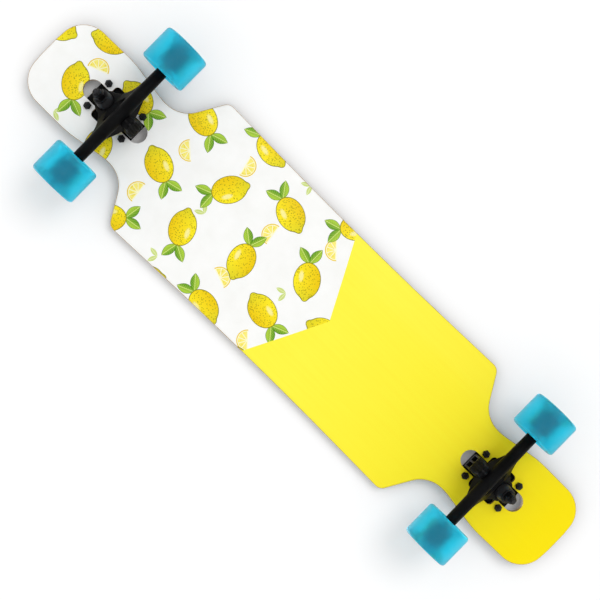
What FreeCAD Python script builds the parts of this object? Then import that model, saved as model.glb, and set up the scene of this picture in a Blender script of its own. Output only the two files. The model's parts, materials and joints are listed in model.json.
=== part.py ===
import FreeCAD, Part
import math
import os
from types import SimpleNamespace

import Sketcher
from FreeCAD import Placement, Rotation, Vector

# A drop-through longboard on two reverse-kingpin trucks and four wheels, in millimetres.
# +X points to the nose, +Y to the rider's left when facing the nose, and +Z up.
# The origin is on the ground, under the middle of the deck.

# Driving sizes, one sheet cell each. Widths and lengths are full sizes, angles are in degrees.
SIZES = {
    # Deck: a pressed sheet with a flat middle and rising sides
    "deck_length": 965.0,
    "deck_width": 233.0,
    "deck_thickness": 11.2,
    "waist_dip": 6.0,
    "concave_flat_width": 120.0,
    "concave_angle": 7.35,
    "concave_radius": 250.0,
    "rim_radius": 3.0,
    "tip_width": 30.0,
    "tip_radius": 80.0,
    "end_width": 129.0,
    "end_setback": 3.5,
    "end_radius": 39.0,
    "side_width": 131.0,
    "side_setback": 97.0,
    "side_radius": 150.0,
    "flare_radius": 80.0,
    "neck_gap": 21.9,
    "neck_length": 7.8,
    "well_gap": 18.0,
    # Cut-outs in the deck: a window for the baseplate with a round-ended arm each way
    "cutout_length": 110.0,
    "cutout_arm_width": 28.0,
    "window_length": 44.0,
    "window_width": 54.0,
    "window_radius": 6.0,
    # Grip sheet
    "grip_thickness": 0.8,
    "grip_inset": 4.0,
    "grip_cut_gap": 1.5,
    "grip_cut_radius": 12.0,
    # Where the trucks stand, and the line that each hanger turns about
    "truck_setback": 124.0,
    "truck_height": 50.0,
    "axle_setback": 13.5,
    "steer_angle": 38.5,
    "ring_ahead": 13.0,
    "ring_drop": 14.5,
    "pivot_reach": 57.0,
    # Baseplate
    "bolt_spacing_long": 63.5,
    "bolt_spacing_wide": 41.3,
    "flange_length": 82.0,
    "flange_width": 62.0,
    "flange_thickness": 6.0,
    "flange_radius": 10.0,
    "flange_edge_radius": 1.5,
    "plug_depth": 5.0,
    "plug_gap": 1.0,
    "housing_width": 31.0,
    "base_wall": 7.0,
    "tower_width": 23.0,
    "tower_rear": 40.0,
    "tower_rib": 3.0,
    "tower_front_wall": 6.0,
    "tower_slot_gap": 2.0,
    "socket_wall": 2.6,
    "socket_floor": 2.5,
    "recess_diameter": 19.4,
    # Hanger
    "hanger_width": 180.0,
    "bar_end_diameter": 16.6,
    "bar_middle_diameter": 18.0,
    "bar_middle_width": 64.0,
    "ring_diameter": 34.0,
    "ring_thickness": 11.0,
    "ring_bore": 16.0,
    "seat_depth": 1.5,
    "seat_gap": 0.3,
    "web_width": 74.0,
    "web_root_width": 116.0,
    "web_throat": 31.0,
    "web_throat_reach": 2.0,
    "web_throat_radius": 30.0,
    "web_flare_gap": 3.8,
    "web_flare_radius": 30.0,
    "web_rise": 6.5,
    "web_edge_radius": 1.5,
    "web_tail_width": 40.0,
    "web_pocket_drop": 7.0,
    "web_pocket_near": 19.0,
    "web_pocket_narrow": 20.0,
    "web_pocket_wide": 50.0,
    "web_pocket_gap": 2.4,
    "web_pocket_radius": 2.5,
    "pivot_tip_diameter": 11.0,
    "pivot_root_diameter": 16.0,
    "pivot_root_overlap": 2.0,
    "pivot_mouth_gap": 2.6,
    # Pivot cup
    "cup_wall": 2.4,
    "cup_floor": 2.0,
    "cup_gap": 0.2,
    "cup_stand": 0.5,
    # Kingpin, bushings and their washers
    "kingpin_diameter": 9.5,
    "kingpin_head_width": 14.2,
    "kingpin_head_height": 6.5,
    "kingpin_tail": 3.5,
    "kingpin_nut_width": 14.2,
    "kingpin_nut_height": 9.5,
    "bushing_diameter": 24.0,
    "bushing_small_diameter": 19.0,
    "bushing_length": 13.5,
    "bushing_edge_radius": 1.5,
    "washer_thickness": 1.5,
    "washer_rim": 1.2,
    "washer_rim_height": 2.2,
    # Mounting bolts and nuts
    "bolt_diameter": 4.8,
    "bolt_hole_diameter": 5.2,
    "bolt_head_diameter": 9.2,
    "bolt_head_height": 2.8,
    "bolt_head_radius": 1.8,
    "bolt_tail": 1.5,
    "mounting_nut_width": 9.5,
    "mounting_nut_height": 5.5,
    # Axle, its nuts, washers and spacers
    "axle_diameter": 8.0,
    "axle_tail": 1.0,
    "axle_nut_width": 12.7,
    "axle_nut_height": 8.5,
    "speed_washer_diameter": 14.5,
    "speed_washer_thickness": 1.0,
    "spacer_length": 10.0,
    "spacer_diameter": 11.0,
    # Ball bearing
    "bearing_diameter": 22.0,
    "bearing_width": 7.0,
    "bearing_inner_diameter": 12.1,
    "bearing_outer_bore": 18.2,
    "ball_diameter": 3.97,
    "ball_gap": 0.08,
    "shield_thickness": 0.5,
    "shield_inset": 0.4,
    "shield_bore": 12.8,
    # Wheel
    "wheel_diameter": 70.0,
    "wheel_width": 51.0,
    "wheel_lip_radius": 4.5,
    "wheel_dish_diameter": 50.0,
    "wheel_dish_radius": 3.0,
    "core_diameter": 33.0,
    "core_width": 28.0,
    "core_shoulder_bore": 19.0,
    "core_recess_diameter": 3.6,
    "core_recess_depth": 5.0,
    # Fits
    "fit_gap": 0.02,
    "slide_gap": 0.1,
    "thread_chamfer": 0.8,
    "overrun": 20.0,
}

# Shares of the size that each one names
WAIST_ARC_SHARE = 0.66
WELL_RADIUS_SHARE = 0.69
WELL_REACH_SHARE = 0.6
WELL_SLANT_SHARE = 0.566
SHOULDER_RADIUS_SHARE = 0.217
NUT_COLLAR_SHARE = 0.28
NUT_COLLAR_WIDTH_SHARE = 0.9
RACE_WIDTH_SHARE = 0.75
TOWER_SHOULDER_SHARE = 0.75
WEB_ROOT_SHARE = 0.8
WEB_BELLY_SHARE = 0.75

BALL_COUNT = 7
CORE_RECESS_COUNT = 8
FULL_TURN = 360.0
HALF_TURN = 180.0
QUARTER_TURN = 90.0
HEX_SIDES = 6

# How far an edge or a face may lean from upright and still count as upright
LEAN_SHARE = 0.01


class Size:
    """A value and the sheet expression that it comes from; sums keep the two in step."""

    def __init__(self, value, text):
        self.value = value
        self.text = text

    def __add__(self, other):
        other = as_size(other)
        if ZERO in (self, other):
            return other if self is ZERO else self
        return combined(self, "+", other, self.value + other.value)

    def __sub__(self, other):
        return combined(self, "-", other, self.value - as_size(other).value)

    def __mul__(self, other):
        return combined(self, "*", other, self.value * as_size(other).value)

    def __truediv__(self, other):
        return combined(self, "/", other, self.value / as_size(other).value)

    def __neg__(self):
        return Size(-self.value, f"(0 - {self.text})")


def as_size(number):
    if isinstance(number, Size):
        return number
    return Size(float(number), repr(float(number)))


def combined(left, sign, right, value):
    return Size(value, f"({left.text} {sign} {as_size(right).text})")


def cosine(angle):
    return Size(math.cos(math.radians(angle.value)), f"cos({angle.text} * 1 deg)")


def sine(angle):
    return Size(math.sin(math.radians(angle.value)), f"sin({angle.text} * 1 deg)")


def tangent(angle):
    return Size(math.tan(math.radians(angle.value)), f"tan({angle.text} * 1 deg)")


ZERO = Size(0.0, "0")
doc = FreeCAD.newDocument("longboard")
sheet = doc.addObject("Spreadsheet::Sheet", "Sizes")
for row, (word, number) in enumerate(SIZES.items(), start=1):
    sheet.set(f"A{row}", word)
    sheet.set(f"B{row}", str(number))
    sheet.setAlias(f"B{row}", word)
doc.recompute()
s = SimpleNamespace(**{word: Size(number, f"Sizes.{word}") for word, number in SIZES.items()})
nodes = []


# Modelling steps shared by the pieces

def new_body(label):
    body = doc.addObject("PartDesign::Body", label)
    body.Label = label
    nodes.append(body)
    return body


def origin_part(body, role):
    return next(item for item in body.Origin.OriginFeatures if item.Role == role)


class Drawing:
    """The lines, arcs and ties of one sketch, gathered first and put in together."""

    def __init__(self):
        self.shapes = []
        self.dots = []
        self.ties = []

    def add(self, shape):
        self.shapes.append(shape)
        return len(self.shapes) - 1

    def tie(self, kind, *places, size=None):
        """A rule between points or lines; with a size, a dimension that follows the sheet."""
        values = places if size is None else (*places, size.value)
        self.ties.append((Sketcher.Constraint(kind, *values), size))

    def tie_point(self, shape, place, corner):
        """Tie a point to its two sizes; a zero puts it on that axis."""
        for size, kind, axis in ((corner[0], "DistanceX", -2), (corner[1], "DistanceY", -1)):
            if size.text == ZERO.text:
                self.tie("PointOnObject", shape, place, axis)
            else:
                self.tie(kind, shape, place, size=size)

    def circle(self, centre, radius):
        middle = Vector(centre[0].value, centre[1].value, 0)
        shape = self.add(Part.Circle(middle, Vector(0, 0, 1), radius.value))
        self.tie("Radius", shape, size=radius)
        self.tie_point(shape, 3, centre)

    def loop(self, corners):
        """A closed outline of lines through the corners; a third value rounds that corner."""
        count = len(corners)
        points = [Vector(corner[0].value, corner[1].value, 0) for corner in corners]
        arrive, leave, arcs = list(points), list(points), [None] * count
        for index, corner in enumerate(corners):
            if len(corner) > 2:
                before, after = points[index - 1], points[(index + 1) % count]
                arcs[index] = corner_arc(before, points[index], after, corner[2].value)
                arrive[index], leave[index] = arcs[index][:2]
        lines = []
        for index in range(count):
            lines.append(self.add(Part.LineSegment(leave[index], arrive[(index + 1) % count])))
        for index, corner in enumerate(corners):
            if arcs[index] is None:
                self.tie("Coincident", lines[index - 1], 2, lines[index], 1)
                self.tie_point(lines[index], 1, corner)
            else:
                self.rounding(corner, arcs[index], points[index], lines[index - 1], lines[index])

    def rounding(self, corner, arc, point, line_in, line_out):
        first, last, centre, left = arc
        ends = (first, last) if left else (last, first)
        angles = [math.atan2(end.y - centre.y, end.x - centre.x) for end in ends]
        circle = Part.Circle(centre, Vector(0, 0, 1), corner[2].value)
        curve = self.add(Part.ArcOfCircle(circle, angles[0], angles[1]))
        dot = self.add(Part.Point(point))
        self.dots.append(dot)
        start, end = (1, 2) if left else (2, 1)
        self.tie("Tangent", line_in, 2, curve, start)
        self.tie("Tangent", curve, end, line_out, 1)
        self.tie("Radius", curve, size=corner[2])
        self.tie("PointOnObject", dot, 1, line_in)
        self.tie("PointOnObject", dot, 1, line_out)
        self.tie_point(dot, 1, corner)

    def put_in(self, target):
        target.addGeometry(self.shapes, False)
        for dot in self.dots:
            target.toggleConstruction(dot)
        target.addConstraint([constraint for constraint, size in self.ties])
        for index, (constraint, size) in enumerate(self.ties):
            if size is not None:
                target.setExpression(f"Constraints[{index}]", size.text)


def corner_arc(before, corner, after, radius):
    """Where an arc of this radius meets the two lines of a corner, its centre, and if it turns left."""
    back = (before - corner).normalize()
    ahead = (after - corner).normalize()
    half = back.getAngle(ahead) / 2
    reach = radius / math.tan(half)
    middle = (back + ahead).normalize()
    centre = corner + middle * (radius / math.sin(half))
    return corner + back * reach, corner + ahead * reach, centre, back.cross(ahead).z < 0


def new_sketch(body, plane, loops=(), circles=(), shift=(ZERO, ZERO, ZERO), turn=ZERO):
    """A sketch on a plane of its body, shifted and turned within that plane's own axes."""
    result = body.newObject("Sketcher::SketchObject", "Sketch")
    result.AttachmentSupport = [(origin_part(body, plane), "")]
    result.MapMode = "FlatFace"
    base = Vector(*[amount.value for amount in shift])
    result.AttachmentOffset = Placement(base, Rotation(Vector(0, 0, 1), turn.value))
    for axis, amount in zip("xyz", shift):
        if amount is not ZERO:
            result.setExpression(f"AttachmentOffset.Base.{axis}", amount.text)
    if turn is not ZERO:
        result.setExpression("AttachmentOffset.Rotation.Angle", turn.text)
    drawing = Drawing()
    for corners in loops:
        drawing.loop(corners)
    for centre, radius in circles:
        drawing.circle(centre, radius)
    drawing.put_in(result)
    return result


def extrude(body, kind, profile, length, symmetric=False, reverse=False):
    feature = body.newObject(f"PartDesign::{kind}", kind)
    feature.Profile = profile
    feature.SideType = "Symmetric" if symmetric else "One side"
    feature.Reversed = reverse
    feature.setExpression("Length", length.text)
    return feature


def turn_round(body, kind, profile, axis):
    feature = body.newObject(f"PartDesign::{kind}", kind)
    feature.Profile = profile
    feature.ReferenceAxis = (profile, [axis])
    feature.Angle = FULL_TURN
    return feature


def round_edges(body, wanted, radius):
    """Round the edges of the body so far that the wanted test picks."""
    doc.recompute()
    base = body.Tip
    names = [f"Edge{index}" for index, edge in enumerate(base.Shape.Edges, start=1) if wanted(base.Shape, edge)]
    fillet = body.newObject("PartDesign::Fillet", "Fillet")
    fillet.Base = (base, names)
    fillet.setExpression("Radius", radius.text)
    return fillet


def mirror(body, originals, plane):
    feature = body.newObject("PartDesign::Mirrored", "Mirrored")
    feature.Originals = originals
    feature.MirrorPlane = (origin_part(body, plane), [""])
    body.Tip = feature
    return feature


def ring_pattern(body, originals, axis, count):
    feature = body.newObject("PartDesign::PolarPattern", "PolarPattern")
    feature.Originals = originals
    feature.Axis = (origin_part(body, axis), [""])
    feature.Angle = FULL_TURN
    feature.Occurrences = count
    body.Tip = feature
    return feature


def grid_pattern(body, originals):
    """Repeat at the four corners of the bolt pattern, from the corner at the lowest X and Y."""
    feature = body.newObject("PartDesign::LinearPattern", "LinearPattern")
    feature.Originals = originals
    feature.Direction = (origin_part(body, "X_Axis"), [""])
    feature.setExpression("Length", s.bolt_spacing_long.text)
    feature.Occurrences = 2
    feature.Direction2 = (origin_part(body, "Y_Axis"), [""])
    feature.setExpression("Length2", s.bolt_spacing_wide.text)
    feature.Occurrences2 = 2
    body.Tip = feature
    return feature


def rectangle(left, right, low, high, *radius):
    return [(left, low, *radius), (right, low, *radius), (right, high, *radius), (left, high, *radius)]


def centred(length, width, *radius):
    return rectangle(-length / 2, length / 2, -width / 2, width / 2, *radius)


def hexagon(width):
    """The corners of a hexagon of this width across its flats."""
    corners = []
    for index in range(HEX_SIDES):
        angle = Size(FULL_TURN * index / HEX_SIDES, repr(FULL_TURN * index / HEX_SIDES))
        reach = width / 2 / cosine(as_size(HALF_TURN / HEX_SIDES))
        x = reach * cosine(angle)
        y = ZERO if index % (HEX_SIDES // 2) == 0 else reach * sine(angle)
        corners.append((x, y))
    return corners


# Places that several pieces share

deck_height = s.wheel_diameter / 2 + s.truck_height
deck_top = deck_height + s.deck_thickness
flange_top = deck_top + s.flange_thickness
axle_height = s.wheel_diameter / 2
ring_height = deck_height - s.ring_drop
truck_reach = s.deck_length / 2 - s.truck_setback
axle_reach = truck_reach - s.axle_setback
bearing_start = s.hanger_width / 2 + s.speed_washer_thickness
wheel_middle = bearing_start + s.bearing_width + s.spacer_length / 2
wheel_inner = wheel_middle - s.wheel_width / 2
ball_circle = (s.bearing_inner_diameter + s.bearing_outer_bore) / 4
stack_end = wheel_middle + s.spacer_length / 2 + s.bearing_width + s.speed_washer_thickness
axle_end = stack_end + s.axle_nut_height + s.axle_tail

# The axle's place in the frame of the kingpin ring: along the steering line, and square to it
axle_run = s.axle_setback + s.ring_ahead
axle_fall = ring_height - axle_height
axle_along = -(axle_run * cosine(s.steer_angle)) - axle_fall * sine(s.steer_angle)
axle_across = axle_run * sine(s.steer_angle) - axle_fall * cosine(s.steer_angle)

# Stations along the kingpin, from the middle of the ring towards the deck
seat_face = s.ring_thickness / 2 - s.seat_depth
bushing_end = seat_face + s.bushing_length
base_face = bushing_end + s.washer_thickness
head_face = base_face + s.base_wall
nut_face = bushing_end + s.washer_thickness
kingpin_tip = nut_face + s.kingpin_nut_height + s.kingpin_tail

# Stations along the steering line, from the middle of the ring towards the pivot
bar_rear = s.bar_middle_diameter / 2 - axle_along
pivot_root = bar_rear - s.pivot_root_overlap
socket_mouth = bar_rear + s.pivot_mouth_gap
cup_mouth = socket_mouth - s.cup_stand
pivot_end = s.pivot_reach + s.pivot_tip_diameter / 2
cup_end = pivot_end + s.cup_gap + s.cup_floor
socket_end = cup_end + s.socket_floor
cup_radius = s.pivot_tip_diameter / 2 + s.cup_gap + s.cup_wall
socket_radius = cup_radius + s.fit_gap
tower_radius = socket_radius + s.socket_wall


def from_ring(along, across):
    """A point of the ring's frame in the X and Z of its truck, whose origin is under the bolts."""
    x = s.ring_ahead + along * cosine(s.steer_angle) - across * sine(s.steer_angle)
    z = ring_height + along * sine(s.steer_angle) + across * cosine(s.steer_angle)
    return x, z


# Deck and grip

def deck_quarter(inset):
    """The corners of a quarter of the deck's outline, from the tip to the waist, and their radii."""
    neck_end = axle_reach - s.wheel_diameter / 2 - s.well_gap
    neck = wheel_inner - s.neck_gap
    step = s.deck_width / 2 - neck
    well = step * WELL_RADIUS_SHARE
    flare = neck_end + well * WELL_REACH_SHARE + s.neck_length
    shoulder = neck_end - step * WELL_SLANT_SHARE
    waist_radius = shoulder * shoulder / s.waist_dip * WAIST_ARC_SHARE
    return [
        (s.deck_length / 2 - inset, s.tip_width / 2, s.tip_radius),
        (s.deck_length / 2 - s.end_setback - inset, s.end_width / 2 - inset, s.end_radius - inset),
        (s.deck_length / 2 - s.side_setback, s.side_width / 2 - inset, s.side_radius),
        (flare, neck - inset, s.flare_radius),
        (neck_end - inset, neck - inset, well + inset),
        (shoulder - inset, s.deck_width / 2 - inset, step * SHOULDER_RADIUS_SHARE),
        (ZERO, s.deck_width / 2 - s.waist_dip - inset, waist_radius),
    ]


def pressed_sheet(body, low, thickness):
    """A sheet with a flat middle and sides that rise, of this thickness above the low face's height."""
    edge = s.deck_width / 2 + s.overrun
    crease = s.concave_flat_width / 2
    fold = tangent(s.concave_angle / 2)
    shift = (low - deck_top) * fold
    rise = (edge - crease) * tangent(s.concave_angle)
    low_edge = deck_top + rise + (low - deck_top) / cosine(s.concave_angle)
    high = low + thickness
    high_edge = low_edge + thickness / cosine(s.concave_angle)
    low_radius = s.concave_radius - (low - deck_top)
    high_crease = crease - shift - thickness * fold
    profile = [
        (-edge, low_edge),
        (-(crease - shift), low, low_radius),
        (crease - shift, low, low_radius),
        (edge, low_edge),
        (edge, high_edge),
        (high_crease, high, low_radius - thickness),
        (-high_crease, high, low_radius - thickness),
        (-edge, high_edge),
    ]
    extrude(body, "Pad", new_sketch(body, "YZ_Plane", [profile]), s.deck_length + s.overrun * 2, symmetric=True)


def trim_to_outline(body, inset):
    """Cut off what lies outside the outline, along the left side and then along its mirror image."""
    tip = s.deck_length / 2 - inset
    far = s.deck_length / 2 + s.overrun * 2
    wide = s.deck_width / 2 + s.overrun * 2
    quarter = deck_quarter(inset)
    half = [(tip, ZERO)] + quarter + [(-x, y, radius) for x, y, radius in reversed(quarter[:-1])]
    half += [(-tip, ZERO), (-far, ZERO), (-far, wide), (far, wide), (far, ZERO)]
    cut = extrude(body, "Pocket", new_sketch(body, "XY_Plane", [half]), deck_top * 4, symmetric=True)
    mirror(body, [cut], "XZ_Plane")


def is_rim(shape, edge):
    """True for the edges where the upright walls of a sheet meet its faces."""
    if isinstance(edge.Curve, Part.Line) and abs(edge.tangentAt(edge.FirstParameter).z) > 1 - LEAN_SHARE:
        return False
    for face in shape.ancestorsOfType(edge, Part.Face):
        start, end, low, high = face.ParameterRange
        if abs(face.normalAt((start + end) / 2, (low + high) / 2).z) < LEAN_SHARE:
            return True
    return False


def make_deck():
    body = new_body("deck")
    pressed_sheet(body, deck_height, s.deck_thickness)
    trim_to_outline(body, ZERO)
    round_edges(body, is_rim, s.rim_radius)
    for side in (-1, 1):
        middle = truck_reach * side
        arm = s.cutout_length / 2
        window = rectangle(middle - s.window_length / 2, middle + s.window_length / 2,
                           -s.window_width / 2, s.window_width / 2, s.window_radius)
        slot = rectangle(middle - arm, middle + arm, -s.cutout_arm_width / 2, s.cutout_arm_width / 2,
                         s.cutout_arm_width / 2 - s.slide_gap)
        for loops, circles in (([window], ()), ([slot], ()), ((), bolt_holes(middle))):
            profile = new_sketch(body, "XY_Plane", loops, circles)
            extrude(body, "Pocket", profile, deck_top * 4, symmetric=True)


def make_grip():
    body = new_body("grip_tape")
    pressed_sheet(body, deck_top, s.grip_thickness)
    trim_to_outline(body, s.grip_inset)
    for side in (-1, 1):
        middle = truck_reach * side
        half = s.cutout_length / 2 + s.grip_cut_gap
        wide = s.flange_width / 2 + s.grip_cut_gap
        window = rectangle(middle - half, middle + half, -wide, wide, s.grip_cut_radius)
        extrude(body, "Pocket", new_sketch(body, "XY_Plane", [window]), deck_top * 4, symmetric=True)


# Truck pieces, each in the frame of its truck, of its kingpin ring or of its axle

def make_baseplate(label, place):
    """Flange and plug over the cut-out, the housing of the kingpin's head, and the ribbed pivot tower."""
    body = new_body(label)
    flange = centred(s.flange_length, s.flange_width, s.flange_radius)
    extrude(body, "Pad", new_sketch(body, "XY_Plane", [flange], shift=(ZERO, ZERO, deck_top)), s.flange_thickness)
    round_edges(body, lambda shape, edge: edge.BoundBox.ZMin > flange_top.value - s.fit_gap.value,
                s.flange_edge_radius)
    plug = centred(s.window_length - s.plug_gap * 2, s.window_width - s.plug_gap * 2, s.window_radius)
    extrude(body, "Pad", new_sketch(body, "XY_Plane", [plug], shift=(ZERO, ZERO, deck_top)), s.plug_depth,
            reverse=True)
    inside = deck_top + s.flange_thickness / 2
    half = s.housing_width / 2
    housing = [
        from_ring(half, base_face),
        from_ring(-half, base_face),
        (s.plug_gap - s.window_length / 2, inside),
        (s.window_length / 2 - s.plug_gap, inside),
    ]
    extrude(body, "Pad", new_sketch(body, "XZ_Plane", [housing]), s.housing_width, symmetric=True)
    front = tower_radius + s.slide_gap
    tower = [
        from_ring(-half, base_face),
        from_ring(-socket_mouth, front),
        from_ring(-socket_mouth, ZERO),
        from_ring(-socket_end, ZERO),
        from_ring(-socket_end, tower_radius * TOWER_SHOULDER_SHARE),
        (-s.tower_rear, inside),
        (from_ring(-half, base_face)[0], inside),
    ]
    extrude(body, "Pad", new_sketch(body, "XZ_Plane", [tower]), s.tower_width, symmetric=True)
    ring_frame = {"shift": (s.ring_ahead, ring_height, ZERO), "turn": s.steer_angle}
    boss = [
        (-socket_end, ZERO),
        (-socket_mouth, ZERO),
        (-socket_mouth, tower_radius),
        (-socket_end, tower_radius, s.flange_edge_radius),
    ]
    turn_round(body, "Revolution", new_sketch(body, "XZ_Plane", [boss], **ring_frame), "H_Axis")
    low = from_ring(-socket_end, tower_radius + s.tower_slot_gap)
    slot = [
        (-s.window_length / 2 - s.tower_slot_gap, deck_height),
        (-s.tower_rear - s.overrun, deck_height),
        (-s.tower_rear - s.overrun, low[1]),
        low,
        from_ring(-socket_mouth, front + s.tower_front_wall),
    ]
    slots = extrude(body, "Pocket", new_sketch(body, "XZ_Plane", [slot], shift=(ZERO, ZERO, -s.tower_rib / 2)),
                    s.tower_width / 2 - s.tower_rib * 3 / 2)
    mirror(body, [slots], "XZ_Plane")
    socket = [
        (-cup_end - s.fit_gap, ZERO),
        (s.overrun / 2 - socket_mouth, ZERO),
        (s.overrun / 2 - socket_mouth, socket_radius),
        (-cup_end - s.fit_gap, socket_radius),
    ]
    turn_round(body, "Groove", new_sketch(body, "XZ_Plane", [socket], **ring_frame), "H_Axis")
    hole = s.kingpin_diameter / 2 + s.fit_gap
    spot_face = s.bushing_diameter / 2 + s.seat_gap + s.washer_rim + s.plug_gap
    recess = [
        (ZERO, base_face - s.overrun),
        (spot_face, base_face - s.overrun),
        (spot_face, base_face),
        (hole, base_face),
        (hole, head_face),
        (s.recess_diameter / 2, head_face),
        (s.recess_diameter / 2, head_face + s.overrun),
        (ZERO, head_face + s.overrun),
    ]
    turn_round(body, "Groove", new_sketch(body, "XZ_Plane", [recess], **ring_frame), "V_Axis")
    holes = new_sketch(body, "XY_Plane", circles=bolt_holes(ZERO))
    extrude(body, "Pocket", holes, deck_top * 4, symmetric=True)
    body.Placement = place


def make_hanger(label, place):
    """Bar, web, ring and pivot nose. X runs along the steering line and Z along the kingpin."""
    body = new_body(label)
    bar = s.bar_middle_diameter / 2
    thick = s.ring_thickness / 2
    side = [
        (ZERO, thick),
        (-bar_rear, s.web_rise),
        (-bar_rear, -s.web_rise),
        (axle_along, axle_across - bar * WEB_BELLY_SHARE),
        (axle_along + bar * WEB_ROOT_SHARE, axle_across - bar / 2),
        (-s.ring_diameter / 2 * WEB_ROOT_SHARE, -thick),
        (ZERO, -thick),
    ]
    extrude(body, "Pad", new_sketch(body, "XZ_Plane", [side]), s.web_root_width + s.overrun, symmetric=True)
    throat = s.web_throat / 2
    ahead = s.overrun * 2
    plan = [
        (ahead, throat),
        (-s.web_throat_reach, throat, s.web_throat_radius),
        (axle_along + bar + s.web_flare_gap, s.web_width / 2, s.web_flare_radius),
        (axle_along + bar * WEB_ROOT_SHARE, s.web_root_width / 2),
        (axle_along, s.web_root_width / 2),
        (axle_along - bar / 2, s.web_tail_width / 2),
        (-bar_rear, s.pivot_root_diameter / 2),
        (-bar_rear - s.overrun, s.pivot_root_diameter / 2),
        (-bar_rear - s.overrun, s.web_root_width),
        (ahead, s.web_root_width),
    ]
    sides = extrude(body, "Pocket", new_sketch(body, "XY_Plane", [plan]), s.web_width * 2, symmetric=True)
    top = [
        (s.web_tail_width / 2, s.web_rise),
        (s.web_root_width / 2, axle_across),
        (s.web_root_width, axle_across),
        (s.web_root_width, s.web_rise + s.overrun),
        (s.web_tail_width / 2, s.web_rise + s.overrun),
    ]
    slope = extrude(body, "Pocket", new_sketch(body, "YZ_Plane", [top]), s.web_root_width * 2, symmetric=True)
    mirror(body, [sides, slope], "XZ_Plane")
    end = s.hanger_width / 2
    flat = s.bar_middle_width / 2
    tip = s.bar_end_diameter / 2
    barrel = [(ZERO, -end), (tip, -end), (bar, -flat), (bar, flat), (tip, end), (ZERO, end)]
    turn_round(body, "Revolution", new_sketch(body, "XY_Plane", [barrel], shift=(axle_along, ZERO, axle_across)),
               "V_Axis")
    ring = [
        (ZERO, -thick),
        (s.ring_diameter / 2, -thick, s.web_edge_radius),
        (s.ring_diameter / 2, thick, s.web_edge_radius),
        (ZERO, thick),
    ]
    turn_round(body, "Revolution", new_sketch(body, "XZ_Plane", [ring]), "V_Axis")
    nose = [
        (axle_along, ZERO),
        (axle_along, s.pivot_root_diameter / 2),
        (-pivot_root, s.pivot_root_diameter / 2),
        (-s.pivot_reach, s.pivot_tip_diameter / 2),
        (-pivot_end, s.pivot_tip_diameter / 2, s.pivot_tip_diameter / 2 - s.slide_gap),
        (-pivot_end, ZERO),
    ]
    turn_round(body, "Revolution", new_sketch(body, "XZ_Plane", [nose]), "H_Axis")
    deep = axle_along + bar + s.web_pocket_gap
    pocket = [
        (-s.web_pocket_near, -s.web_pocket_narrow / 2, s.web_pocket_radius),
        (-s.web_pocket_near, s.web_pocket_narrow / 2, s.web_pocket_radius),
        (deep, s.web_pocket_wide / 2, s.web_pocket_radius),
        (deep, -s.web_pocket_wide / 2, s.web_pocket_radius),
    ]
    extrude(body, "Pocket", new_sketch(body, "XY_Plane", [pocket], shift=(ZERO, ZERO, -s.web_pocket_drop)),
            s.web_width)
    seat = s.bushing_diameter / 2 + s.seat_gap
    bore = [
        (ZERO, -bushing_end),
        (seat, -bushing_end),
        (seat, -seat_face),
        (s.ring_bore / 2, -seat_face),
        (s.ring_bore / 2, seat_face),
        (seat, seat_face),
        (seat, bushing_end),
        (ZERO, bushing_end),
    ]
    turn_round(body, "Groove", new_sketch(body, "XZ_Plane", [bore]), "V_Axis")
    axle_hole = [((axle_along, axle_across), s.axle_diameter / 2 + s.fit_gap)]
    extrude(body, "Pocket", new_sketch(body, "XZ_Plane", circles=axle_hole), s.hanger_width * 2, symmetric=True)
    body.Placement = place


def make_pivot_cup(label, place):
    tip = s.pivot_tip_diameter / 2
    root = s.pivot_root_diameter / 2
    slope = (root - tip) / (s.pivot_reach - pivot_root)
    mouth = root - slope * (cup_mouth - pivot_root) + s.cup_gap
    inner = tip + s.cup_gap
    floor = pivot_end + s.cup_gap
    profile = [
        (-cup_end, ZERO),
        (-cup_end, cup_radius),
        (-cup_mouth, cup_radius),
        (-cup_mouth, mouth),
        (-s.pivot_reach, inner),
        (-floor, inner, inner - s.slide_gap),
        (-floor, ZERO),
    ]
    body = new_body(label)
    turn_round(body, "Revolution", new_sketch(body, "XZ_Plane", [profile]), "H_Axis")
    body.Placement = place


def make_round(label, place, *profiles, pair=False):
    """A piece turned about its own Z axis from one or more outlines, with its mirror image for a pair."""
    body = new_body(label)
    features = [turn_round(body, "Revolution", new_sketch(body, "XZ_Plane", [profile]), "V_Axis")
                for profile in profiles]
    if pair:
        mirror(body, features, "XY_Plane")
    body.Placement = place
    return body


def sleeve(bore, outside, low, high, *radius):
    return [(bore, low), (outside, low, *radius), (outside, high, *radius), (bore, high)]


def add_nut(body, width, height, bore, seat, side, corner=(ZERO, ZERO)):
    """A hexagon nut on the seat's level, with a round collar on the side away from it."""
    hexes = [(x + corner[0], y + corner[1]) for x, y in hexagon(width)]
    level = (ZERO, ZERO, seat)
    tall = height * (1 - NUT_COLLAR_SHARE)
    solid = extrude(body, "Pad", new_sketch(body, "XY_Plane", [hexes], shift=level), tall, reverse=side < 0)
    collar = [(corner, width / 2 * NUT_COLLAR_WIDTH_SHARE)]
    ring = extrude(body, "Pad", new_sketch(body, "XY_Plane", circles=collar, shift=level), height, reverse=side < 0)
    hole = new_sketch(body, "XY_Plane", circles=[(corner, bore)], shift=level)
    cut = extrude(body, "Pocket", hole, height * 4, symmetric=True)
    return [solid, ring, cut]


def make_kingpin(label, place):
    shank = s.kingpin_diameter / 2
    profile = [
        (ZERO, -kingpin_tip),
        (shank - s.thread_chamfer, -kingpin_tip),
        (shank, s.thread_chamfer - kingpin_tip),
        (shank, head_face),
        (ZERO, head_face),
    ]
    body = make_round(label, place, profile)
    head = new_sketch(body, "XY_Plane", [hexagon(s.kingpin_head_width)], shift=(ZERO, ZERO, head_face))
    extrude(body, "Pad", head, s.kingpin_head_height)


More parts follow.
